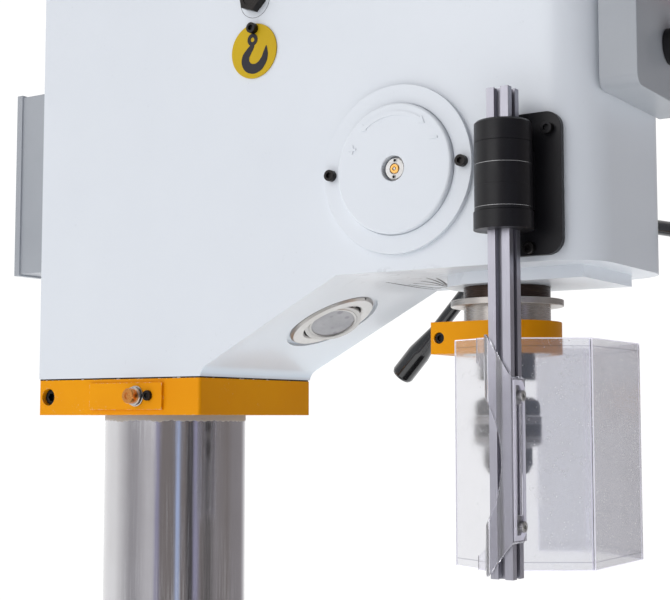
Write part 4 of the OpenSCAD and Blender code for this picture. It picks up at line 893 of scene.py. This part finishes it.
def weighEdges(mesh, shape, lampPlace):
    # The sharp edges of the head, with the share of the rounding that each gets
    work = bmesh.new()
    work.from_mesh(mesh)
    bmesh.ops.remove_doubles(work, verts=work.verts, dist=0.00005)
    bmesh.ops.dissolve_limit(work, angle_limit=math.radians(1.0), verts=work.verts, edges=work.edges)
    weights = work.edges.layers.float.new("bevel_weight_edge")
    nose = shape["noseZ"]
    for edge in work.edges:
        if len(edge.link_faces) != 2 or edge.calc_face_angle(0) < math.radians(28):
            continue
        middle = (edge.verts[0].co + edge.verts[1].co) / 2
        fromLamp = (lampPlace.inverted() @ middle).xy.length
        fromSpindle = (middle.xy - Vector((0, shape["spindleY"]))).length
        inSeat = fromLamp < shape["lampSeat"] + 0.002 and middle.z < nose + 0.02
        if middle.z < clampTop + 0.002 or inSeat or fromSpindle < shape["boreRadius"] + 0.0018:
            edge[weights] = shape["crisp"]
        elif middle.z < nose - 0.009 and middle.y < -0.3:
            edge[weights] = shape["soft"]
        else:
            edge[weights] = 1.0
    work.to_mesh(mesh)
    work.free()


def makeHead(shape):
    plan = roundPlan(headLow[0], headHigh[0], headLow[1], headHigh[1], shape["cornerRadius"])
    body = looseObject(prismUp("headBody", plan, clampTop + shape["foot"], headHigh[2]))
    outline, slope = headProfile(shape)
    under = looseObject(prismAlongX("headUnder", outline[::-1], 0.2))
    r, y, nose = shape["bossRadius"], shape["spindleY"], shape["noseZ"]
    front = headLow[1] + shape["bossFront"]
    boss = [(r * math.cos(t * math.pi / 24), y + r * math.sin(t * math.pi / 24)) for t in range(25)]
    boss = [(r, front)] + boss + [(-r, front)]
    pad = looseObject(prismUp("headBoss", boss, nose - shape["bossDrop"], nose + shape["past"]))
    quill = [(shape["boreRadius"], -0.05), (shape["boreRadius"], 0.05)]
    bore = looseObject(latheMesh("headBore", quill, upright(0, y, nose - 0.005)))
    lampZ = clampTop + shape["lip"] + (-shape["lampY"] - headHigh[1]) * math.tan(slope)
    lampPlace = Matrix.Translation((0, shape["lampY"], lampZ)) @ Matrix.Rotation(-slope, 4, "X")
    wide, narrow = shape["lampSeat"], shape["lampBore"]
    seat = [(wide, -shape["past"]), (wide, 0.003), (narrow, 0.003), (narrow, 0.03)]
    hole = looseObject(latheMesh("headLampSeat", seat, lampPlace, 96))
    mesh = carve(body, [(under, "DIFFERENCE"), (pad, "UNION"), (bore, "DIFFERENCE"), (hole, "DIFFERENCE")])
    weighEdges(mesh, shape, lampPlace)
    head = linkPiece("headCastingSkin", mesh, paint["head"], None, 30)
    bevel = head.modifiers.new("roundEdges", "BEVEL")
    bevel.limit_method = "WEIGHT"
    bevel.width = shape["edge"]
    bevel.segments = 5
    normals = head.modifiers.new("evenShade", "WEIGHTED_NORMAL")
    normals.keep_sharp = True
    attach(head, "frame")
    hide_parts("head_casting")
    return lampPlace


lampPlace = makeHead(headShape)

print("stage: seam and column paint")

seamShape = {
    "inset": 0.0009, "corner": 0.002, "low": -0.0004, "high": 0.0035,
    "chips": 18, "chipSize": 0.0012, "chipWide": 1.8, "chipHigh": 0.7, "sunk": 0.001, "proud": 0.0002,
    # how many lie on the left side, and the spread of their sizes, corners and corners' distances
    "sideShare": 0.45, "sizes": (0.4, 1.6), "corners": (6, 9), "uneven": (0.6, 1.2),
    "seed": 7,
}
# paint on the column: ragged by slow waves and fine ripples
bandShape = {
    "drop": 0.0062, "out": 0.00025, "steps": 240,
    "waves": 40, "waveDepth": 0.0011, "ripples": 61, "rippleDepth": 0.0005,
    "seed": 8,
}


def makeSeam(shape):
    # Black slab in the joint between head and clamp as painted shade, with flakes of white paint on it
    inset = shape["inset"]
    left, right = headLow[0] + inset, headHigh[0] - inset
    plan = roundPlan(left, right, columnLow[1] + inset, columnHigh[1] - inset, shape["corner"], 4)
    shadeSlab = prismUp("seamShadeSlab", plan, clampTop + shape["low"], clampTop + shape["high"])
    linkPiece("seamShadeSlab", shadeSlab, metal["black"], "frame")
    random.seed(shape["seed"])
    points, faces = [], []
    for _ in range(shape["chips"]):
        onSide = random.random() < shape["sideShare"]
        along = random.random()
        size = shape["chipSize"] * random.uniform(*shape["sizes"])
        if onSide:
            y = columnLow[1] + along * (columnHigh[1] - columnLow[1])
            centre = Vector((headLow[0] - 0.0001, y, clampTop))
            right, out = Vector((0, -1, 0)), Vector((-1, 0, 0))
        else:
            x = headLow[0] + along * (headHigh[0] - headLow[0])
            centre = Vector((x, columnLow[1] - 0.0001, clampTop))
            right, out = Vector((1, 0, 0)), Vector((0, -1, 0))
        start = len(points)
        sides = random.randint(*shape["corners"])
        for i in range(sides):
            turn = 2 * math.pi * i / sides
            far = size * random.uniform(*shape["uneven"])
            across = right * far * shape["chipWide"] * math.cos(turn)
            up = Vector((0, 0, far * shape["chipHigh"] * math.sin(turn)))
            points.append(centre + across + up - out * shape["sunk"])
        points.append(centre + out * shape["proud"])
        for i in range(sides):
            faces.append((start + i, start + (i + 1) % sides, start + sides))
    linkPiece("seamFlakes", meshFrom("seamFlakes", points, faces), paint["flake"], "frame", 80)


def makeColumnBand(shape):
    # Paint that ran on to the column under the clamp, with a ragged lower edge
    out, top, steps, waves = shape["out"], columnLow[2], shape["steps"], shape["waves"]
    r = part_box("column")[1][0] + out
    random.seed(shape["seed"])
    drops = [random.uniform(-1, 1) for _ in range(waves)]
    points, faces = [], []
    for step in range(steps):
        turn = 2 * math.pi * step / steps
        where = step / steps * waves
        low, high = drops[int(where) % waves], drops[(int(where) + 1) % waves]
        ragged = shape["waveDepth"] * (low + (high - low) * (where - int(where)))
        drop = shape["drop"] + ragged + shape["rippleDepth"] * math.sin(turn * shape["ripples"])
        for radius, part in ((r, 0), (r, 0.5), (r, 0.86), (r - out * 1.2, 1)):
            points.append((radius * math.cos(turn), radius * math.sin(turn), top - drop * part))
    for step in range(steps):
        after = (step + 1) % steps
        for row in range(3):
            faces.append((step * 4 + row + 1, after * 4 + row + 1, after * 4 + row, step * 4 + row))
    linkPiece("columnPaintEdge", meshFrom("columnPaintEdge", points, faces), paint["flake"], "frame", 60)


makeSeam(seamShape)
makeColumnBand(bandShape)

print("stage: spring housing")

# millimetres and degrees on the face, apart from the height of the print
housingMarks = {
    "raise": 0.0007,
    "arcIn": 47.6, "arcOut": 51.6, "arcFrom": 55.0, "arcTo": 126.0, "arcSteps": 28,
    "barb": 1.7, "tip": 7.0,
    "signReach": 47.8, "plusTurn": 154.0, "minusTurn": 29.0, "signSize": 8.4, "signStroke": 2.2,
}


def makeHousingMarks(shape):
    # Arrow with two heads, and a plus and a minus sign beside it
    face = onLeft(drumY, drumZ, drumLow[0])
    start, end, steps = shape["arcFrom"], shape["arcTo"], shape["arcSteps"]
    near, far, barb, tip = shape["arcIn"], shape["arcOut"], shape["barb"], shape["tip"]
    middle = (near + far) / 2
    turns = [start + (end - start) * step / steps for step in range(steps + 1)]
    arc = [polar(far, turn) for turn in turns]
    arc += [polar(far + barb, end), polar(middle, end + tip), polar(near - barb, end)]
    arc += [polar(near, turn) for turn in reversed(turns)]
    arc += [polar(near - barb, start), polar(middle, start - tip), polar(far + barb, start)]
    half, stroke = shape["signSize"] / 2, shape["signStroke"] / 2
    plus = [(half, -stroke), (half, stroke), (stroke, stroke), (stroke, half), (-stroke, half),
            (-stroke, stroke), (-half, stroke), (-half, -stroke), (-stroke, -stroke), (-stroke, -half),
            (stroke, -half), (stroke, -stroke)]
    minus = [(half, -stroke), (half, stroke), (-half, stroke), (-half, -stroke)]
    reach = shape["signReach"]
    marks = [("housingArrow", arc, (0, 0)), ("housingPlus", plus, polar(reach, shape["plusTurn"])),
             ("housingMinus", minus, polar(reach, shape["minusTurn"]))]
    for name, outline, (x, y) in marks:
        mesh = flatMesh(name, scaled([(px + x, py + y) for px, py in outline]), shape["raise"], face)
        linkPiece(name, mesh, paint["white"], "frame", 30)


shaftEnd = {
    "place": 0.0001,
    # radius and height over the end of the shaft, in mm
    "circlip": [(9.6, 0), (9.6, 1.1), (9.3, 1.4), (5.2, 1.4), (5.0, 0.8), (4.8, 0.2)],
    "hole": [(1.25, 0), (1.25, 0.35), (0.9, 0.2)],
    "lug": [(2.1, 0), (2.1, 0.4), (1.8, 0.6), (1.4, 0.6), (1.2, 0.2)],
    "plug": [(4.4, 0), (4.4, 1.6), (3.9, 2.1), (1.9, 2.1), (1.7, 1.3), (1.5, 1.1)],
    "centre": [(1.4, 1.0), (1.4, 1.9), (1.0, 2.3), (0.4, 2.4)],
    "lugAt": (0.0006, 0.0074, 0.0013),
}


def makeShaftEnd(shape):
    face = onLeft(drumY, drumZ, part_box("feed_shaft")[0][0] - shape["place"])
    x, y, z = shape["lugAt"]
    linkLathe("shaftCirclip", scaled(shape["circlip"]), face, 80, metal["zinc"], "feed", 30)
    for label, side in (("Upper", 1), ("Lower", -1)):
        spot = face @ Matrix.Translation((side * x, side * y, z))
        # each lug's hole is a black disc: painted shade of the hole
        linkLathe("circlipHole" + label, scaled(shape["hole"]), spot, 24, metal["black"], "feed", 30)
        linkLathe("circlipLug" + label, scaled(shape["lug"]), spot, 32, metal["zinc"], "feed", 30)
    linkLathe("shaftBrassPlug", scaled(shape["plug"]), face, 64, metal["brass"], "feed", 30)
    linkLathe("shaftCentre", scaled(shape["centre"]), face, 32, metal["zinc"], "feed", 30)


makeHousingMarks(housingMarks)
makeShaftEnd(shaftEnd)

print("stage: lifting sign")

hookShape = {
    "raise": 0.00025,
    "path": [(-1.2, 6.2), (-2.6, 3.2), (-5.8, -0.6), (-9.2, -5.2), (-9.9, -10.6), (-6.4, -16.2), (0.4, -18.4),
             (7.2, -16.4), (12.2, -10.8), (14.2, -4.6), (15.2, 2.8)],
    "widths": [4.6, 5.6, 7.0, 8.6, 9.4, 9.6, 9.6, 9.2, 8.0, 6.0, 0.3],
    "eyeAt": (-1.4, 10.6), "eyeOut": 6.0, "eyeIn": 2.3, "lift": 0.6, "eyeRaise": 0.0004,
}


def makeHookMark(shape):
    face = onLeft(signY, signZ + shape["lift"] / 1000, signLow[0])
    path, widths = smoothPath(shape["path"], shape["widths"])
    mesh = flatMesh("signHook", scaled(ribbonOutline(path, widths)), shape["raise"], face)
    linkPiece("signHook", mesh, plastic["print"], "frame", 30)
    x, y = shape["eyeAt"]
    spot = face @ Matrix.Translation((x / 1000, y / 1000, 0))
    far, near, up = shape["eyeOut"] / 1000, shape["eyeIn"] / 1000, shape["eyeRaise"]
    rings = [(far, 0), (far, up), (near, up), (near, 0)]
    linkLathe("signEye", rings, spot, 48, plastic["print"], "frame", 30, ends=False)


makeHookMark(hookShape)

print("stage: clamp studs")

studShape = {
    "out": 0.098, "y": -0.030, "z": -0.0175, "smallY": -0.046, "smallRise": 0.0005,
    "gripY": -0.024, "gripRise": 0.111, "gripX": -0.0828, "slitY": 0.096, "slitX": -0.0827,
    # turned pieces from the clamp outwards: material, steps, then radius and height in mm
    "turned": {
        "Washer": ("zinc", 64, [(10.3, 0), (10.3, 1.6), (9.9, 2.0), (8.6, 2.0)]),
        # the black neck between washer and ring is painted shade of the gap
        "Gap": ("black", 48, [(7.2, 2.0), (7.2, 3.4)]),
        "Ring": ("zinc", 64, [(9.0, 3.4), (9.2, 3.8), (9.2, 5.0), (8.8, 5.4), (7.0, 5.6)]),
        "End": ("copper", 64, [(7.4, 5.4), (7.6, 6.0), (7.6, 12.2), (7.0, 13.2), (3.4, 13.4), (3.0, 12.4)]),
    },
    # radius and height of the screw's head, width of its socket
    "clampScrew": (0.0052, 0.0034, 0.0052), "gripScrew": (0.0060, 0.0030, 0.0062),
    "slitScrew": (0.0082, 0.008, 0.0078),
}


def hexRadius(across, angle):
    third = math.pi / 3
    return across / 2 / math.cos((angle % third) - third / 2)


def makeSocketScrew(name, place, size, knurl=0.02):
    head, height, socket = size

    def radius(number, r, angle):
        if number in (1, 2):
            return r * (1 - knurl * (0.5 + 0.5 * math.cos(angle * 36)))
        if number >= 5:
            return hexRadius(socket, angle)
        return r

    rings = [(head, 0), (head, height * 0.06), (head, height * 0.84), (head * 0.93, height),
             (socket * 0.64, height), (socket * 0.5, height * 0.95), (socket * 0.5, height * 0.45)]
    linkLathe(name, rings, place, 144, metal["black"], "frame", 40, radius)


def makeClampStuds(shape):
    z = clampTop + shape["z"]
    for label, mirror in (("Left", Matrix.Identity(4)), ("Right", Matrix.Diagonal((-1, 1, 1, 1)))):
        side = mirror @ onLeft(shape["y"], z, -shape["out"])
        small = mirror @ onLeft(shape["smallY"], z + shape["smallRise"], -shape["out"])
        grip = mirror @ onLeft(shape["gripY"], clampTop + shape["gripRise"], shape["gripX"])
        for name, (material, steps, rings) in shape["turned"].items():
            piece = linkLathe("stud" + name + label, scaled(rings), side, steps, metal[material], "frame")
        makeSocketScrew("clampScrew" + label, small, shape["clampScrew"])
        makeSocketScrew("headGripScrew" + label, grip, shape["gripScrew"], 0.0)
    makeSocketScrew("slitScrew", onLeft(shape["slitY"], z, shape["slitX"]), shape["slitScrew"])
    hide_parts("clamp_fasteners")


makeClampStuds(studShape)

print("stage: lamp")

lampShape = {
    "sink": 0.0012,
    "turn": 15.0,
    # lip that holds the bulb: radius and height towards the room, in mm
    "lip": [(25.0, 2.3), (25.0, 3.3), (24.6, 3.75), (22.9, 3.75), (22.2, 3.3), (22.0, 2.6), (22.0, 2.3)],
}


def makeLampLip(shape):
    turned = Matrix.Rotation(math.radians(shape["turn"]), 4, "Y")
    gimbal = lampPlace @ Matrix.Translation((0, 0, shape["sink"])) @ turned
    outward = gimbal @ Matrix.Rotation(math.pi, 4, "X")
    linkLathe("lampLip", scaled(shape["lip"]), outward, 96, metal["nickel"], "lamp", 40, ends=False)


makeLampLip(lampShape)

print("stage: guard")

screenLow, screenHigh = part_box("guard_screen")
postLow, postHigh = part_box("guard_profile")
# plan and sheet in mm; the rim and the rounded edges in metres
bracketShape = {
    "thick": 2.6, "bend": 3.4, "steps": 5,
    "side": (-101.0, -431.0), "rear": (-82.0, -387.0),  # ends of the bevelled side of the mount
    "flangeFrom": 14.0, "flangeTo": 4.0, "standOff": 3.0, "plateOff": 1.5,
    "topCut": 36.0, "lowCut": 28.0, "past": 5.0, "ahead": 20.0, "cutHalf": 300.0,
    "slotEdge": 6.0, "slotEnd": 21.0, "slotDeep": 4.0,
    "holdRadius": 98.0, "holdY": -361.8, "holdDrop": 5.0, "holdIn": -96.0,
    "rimWide": 0.0042, "rimThick": 0.0005, "rimInset": 0.0012, "rimCorner": 0.006,
    "edge": 0.0007,
}


def bentPath(corners, radius, steps):
    # The corners of a sheet's path, each replaced by an arc
    path = [tuple(corners[0])]
    for before, corner, after in zip(corners, corners[1:], corners[2:]):
        corner = Vector(corner)
        back = (Vector(before) - corner).normalized()
        on = (Vector(after) - corner).normalized()
        half = back.angle(on) / 2
        cutBack = radius / math.tan(half)
        middle = corner + (back + on).normalized() * radius / math.sin(half)
        start = corner + back * cutBack - middle
        turn = math.pi - 2 * half
        side = 1 if back.x * on.y - back.y * on.x < 0 else -1
        for step in range(steps + 1):
            angle = side * turn * step / steps
            spoke = Vector((start.x * math.cos(angle) - start.y * math.sin(angle),
                            start.x * math.sin(angle) + start.y * math.cos(angle)))
            path.append(tuple(middle + spoke))
    path.append(tuple(corners[-1]))
    return path


def makeBracket(shape):
    side, rear = Vector(shape["side"]), Vector(shape["rear"])
    edge = (side - rear).normalized()
    out = Vector((edge.y, -edge.x))
    plateX = postLow[0] * 1000 - shape["plateOff"]
    plateRear = postHigh[1] * 1000 + shape["plateOff"]
    plateFront = postLow[1] * 1000 - shape["plateOff"]
    corners = [side - edge * shape["flangeFrom"] + out * shape["standOff"],
               side - edge * shape["flangeTo"] + out * shape["standOff"],
               (plateX, plateRear), (plateX, plateFront), (postHigh[0] * 1000, plateFront)]
    path = bentPath(corners, shape["bend"], shape["steps"])
    outline = scaled(ribbonOutline(path, [shape["thick"]] * len(path)))
    low, high = screenLow[2], screenHigh[2]
    body = looseObject(prismUp("bracketBody", outline, low, high))
    yRear, yFront = plateRear / 1000, plateFront / 1000
    yAhead = yFront - shape["ahead"] / 1000
    tools = []
    for name, rim, cut, way in (("Top", high, shape["topCut"], -1), ("Low", low, shape["lowCut"], 1)):
        past, step = rim - way * shape["past"] / 1000, rim + way * cut / 1000
        corner = [(yRear, rim), (yRear, past), (yAhead, past), (yAhead, step), (yFront, step)]
        tools.append(prismAlongX("bracket" + name, corner[::way], shape["cutHalf"] / 1000))
    # hand hold in the side
    holdZ = (low + high) / 2 - shape["holdDrop"] / 1000
    hold = onLeft(shape["holdY"] / 1000, holdZ, shape["holdIn"] / 1000)
    reach = shape["holdRadius"] / 1000
    tools.append(latheMesh("bracketHold", [(reach, 0), (reach, 0.06)], hold, 160))
    # long slot between the two screws of the front
    left, right = plateX + shape["slotEdge"], postHigh[0] * 1000 - shape["slotEdge"]
    near, far = plateFront - shape["slotDeep"], plateFront + shape["slotDeep"]
    slotLow = low + (shape["lowCut"] + shape["slotEnd"]) / 1000
    slotHigh = high - (shape["topCut"] + shape["slotEnd"]) / 1000
    front = scaled([(left, near), (right, near), (right, far), (left, far)])
    tools.append(prismUp("bracketSlot", front, slotLow, slotHigh))
    mesh = carve(body, [(looseObject(tool), "DIFFERENCE") for tool in tools])
    bracket = linkPiece("guardBracketSheet", mesh, clear["moulding"], "guard", 30)
    bevel = bracket.modifiers.new("roundEdges", "BEVEL")
    bevel.width = shape["edge"]
    bevel.segments = 3
    bevel.limit_method = "ANGLE"
    bevel.angle_limit = math.radians(40)
    # the bevelled edges get the clear edge material with its painted glow
    bracket.data.materials.append(clear["edge"])
    bevel.material = 1
    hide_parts("guard_bracket")


def makeBracketRim(shape):
    # Raised clear rim round the front of the bracket, with its free corners cut off
    inset, corner, wide = shape["rimInset"], shape["rimCorner"], shape["rimWide"]
    left, right = postLow[0] - shape["plateOff"] / 1000 - inset, postHigh[0] - inset
    low = screenLow[2] + shape["lowCut"] / 1000 + inset
    high = screenHigh[2] - shape["topCut"] / 1000 - inset
    face = postLow[1] - (shape["plateOff"] + shape["thick"] / 2) / 1000
    outer = [(left, low), (right - corner, low), (right, low + corner),
             (right, high - corner), (right - corner, high), (left, high)]
    x0, z0 = (left + right) / 2, (low + high) / 2
    inner = [(x + math.copysign(wide, x0 - x), z + math.copysign(wide, z0 - z)) for x, z in outer]
    count = len(outer)
    points = []
    for loop, depth in ((outer, 0), (outer, shape["rimThick"]), (inner, shape["rimThick"]), (inner, 0)):
        points += [(x, face - depth, z) for x, z in loop]
    faces = []
    for level in range(4):
        for i in range(count):
            j = (i + 1) % count
            here, there = level * count, (level + 1) % 4 * count
            faces.append((here + i, here + j, there + j, there + i))
    linkPiece("guardBracketRim", meshFrom("guardBracketRim", points, faces), clear["rim"], "guard", 30)


makeBracket(bracketShape)
makeBracketRim(bracketShape)

# millimetres, with heights over the clamp
barrelShape = {
    # grooves that hold satin rings as painted highlights, and plain grooves
    "bright": (169.4, 133.4), "faint": (151.7,),
    "radius": 24.12, "inner": 23.7, "low": 130.4, "high": 187.6, "bevel": 0.4,
    "deep": 0.55, "half": 0.5, "wire": 0.3,
}


def makeBarrel(shape):
    # Turned skin of the barrel with its grooves, and satin rings in two of them that stand in for the
    # highlights on the groove lips
    out, inner, low, high = shape["radius"], shape["inner"], shape["low"], shape["high"]
    bevel, half, floor = shape["bevel"], shape["half"], shape["radius"] - shape["deep"]
    rings = [(out - bevel, low), (out, low + bevel)]
    for height in sorted(shape["bright"] + shape["faint"]):
        rings += [(out, height - half), (floor, height - half * 0.3)]
        rings += [(floor, height + half * 0.3), (out, height + half)]
    rings += [(out, high - bevel), (out - bevel, high), (inner, high), (inner, low)]
    middle = (postLow + postHigh) / 2
    place = upright(middle[0], middle[1], clampTop)
    linkLathe("barrelSkin", scaled(rings), place, 120, plastic["black"], "frame", 30, ends=False)
    wire = shape["wire"]
    for number, height in enumerate(shape["bright"]):
        turns = [polar(wire, 45 * eighth) for eighth in range(8)]
        ring = scaled([(floor + wire * 0.9 + x, height + y) for x, y in turns])
        linkLathe("barrelRing%d" % number, ring, place, 120, metal["satin"], "frame", 60, ends=False)


makeBarrel(barrelShape)

print("stage: casting marks")

scrapeShape = {
    # strokes on the underside of the nose, X and Y in mm, that run together at the boss
    "strokes": [[(-13.2, -273.4), (19.4, -272.6), (54.1, -272.4), (80.0, -275.0)],
                [(10.8, -289.6), (31.6, -297.3), (57.1, -300.3)],
                [(-28.0, -326.5), (8.5, -318.2), (66.5, -299.6)],
                [(-4.8, -307.0), (19.7, -308.5), (62.1, -299.5)],
                [(-22.6, -334.0), (15.9, -320.7), (60.2, -302.1)],
                [(62.5, -279.8), (63.6, -289.9), (75.0, -294.8)],
                [(20.0, -279.0), (44.0, -281.0), (74.0, -285.0)]],
    "copies": 2, "spread": 1.5, "wide": 1.7, "tip": 0.1, "thick": 0.00012,
    # a copy strays by this much in X and Y and is thinner, and each stroke is uneven
    "stray": (2.0, 0.5), "thinner": 0.45, "uneven": (0.6, 1.2),
    "circle": (0.0173, 0.0177), "circleY": -0.175, "circleZ": 0.3668,
    "seed": 11,
}


def makeScrapes(shape):
    under = Matrix.Translation((0, 0, headShape["noseZ"])) @ Matrix.Rotation(math.pi, 4, "X")
    random.seed(shape["seed"])
    strayX, strayY = shape["stray"]
    tip = shape["tip"]
    merged = bmesh.new()
    for stroke in shape["strokes"]:
        for copy in range(shape["copies"]):
            points = []
            for x, y in stroke:
                x += random.uniform(-strayX, strayX) * copy
                points.append((x, -y + shape["spread"] * copy + random.uniform(-strayY, strayY) * copy))
            thin = shape["wide"] * (1 - shape["thinner"] * copy)
            widths = [tip] + [thin * random.uniform(*shape["uneven"]) for _ in points[1:-1]] + [tip]
            path, widths = smoothPath(points, widths, 5)
            mesh = flatMesh("scrape", scaled(ribbonOutline(path, widths)), shape["thick"], under)
            merged.from_mesh(mesh)
            bpy.data.meshes.remove(mesh)
    whole = bpy.data.meshes.new("noseScrapes")
    merged.to_mesh(whole)
    merged.free()
    linkPiece("noseScrapes", whole, paint["scrape"], "frame", 30)
    narrow, wide = shape["circle"]
    ring = [(wide, 0), (wide, shape["thick"]), (narrow, shape["thick"]), (narrow, 0)]
    face = onLeft(shape["circleY"], clampTop + shape["circleZ"], headSide)
    linkLathe("liftCircle", ring, face, 90, paint["scrape"], "frame", 30, ends=False)


makeScrapes(scrapeShape)
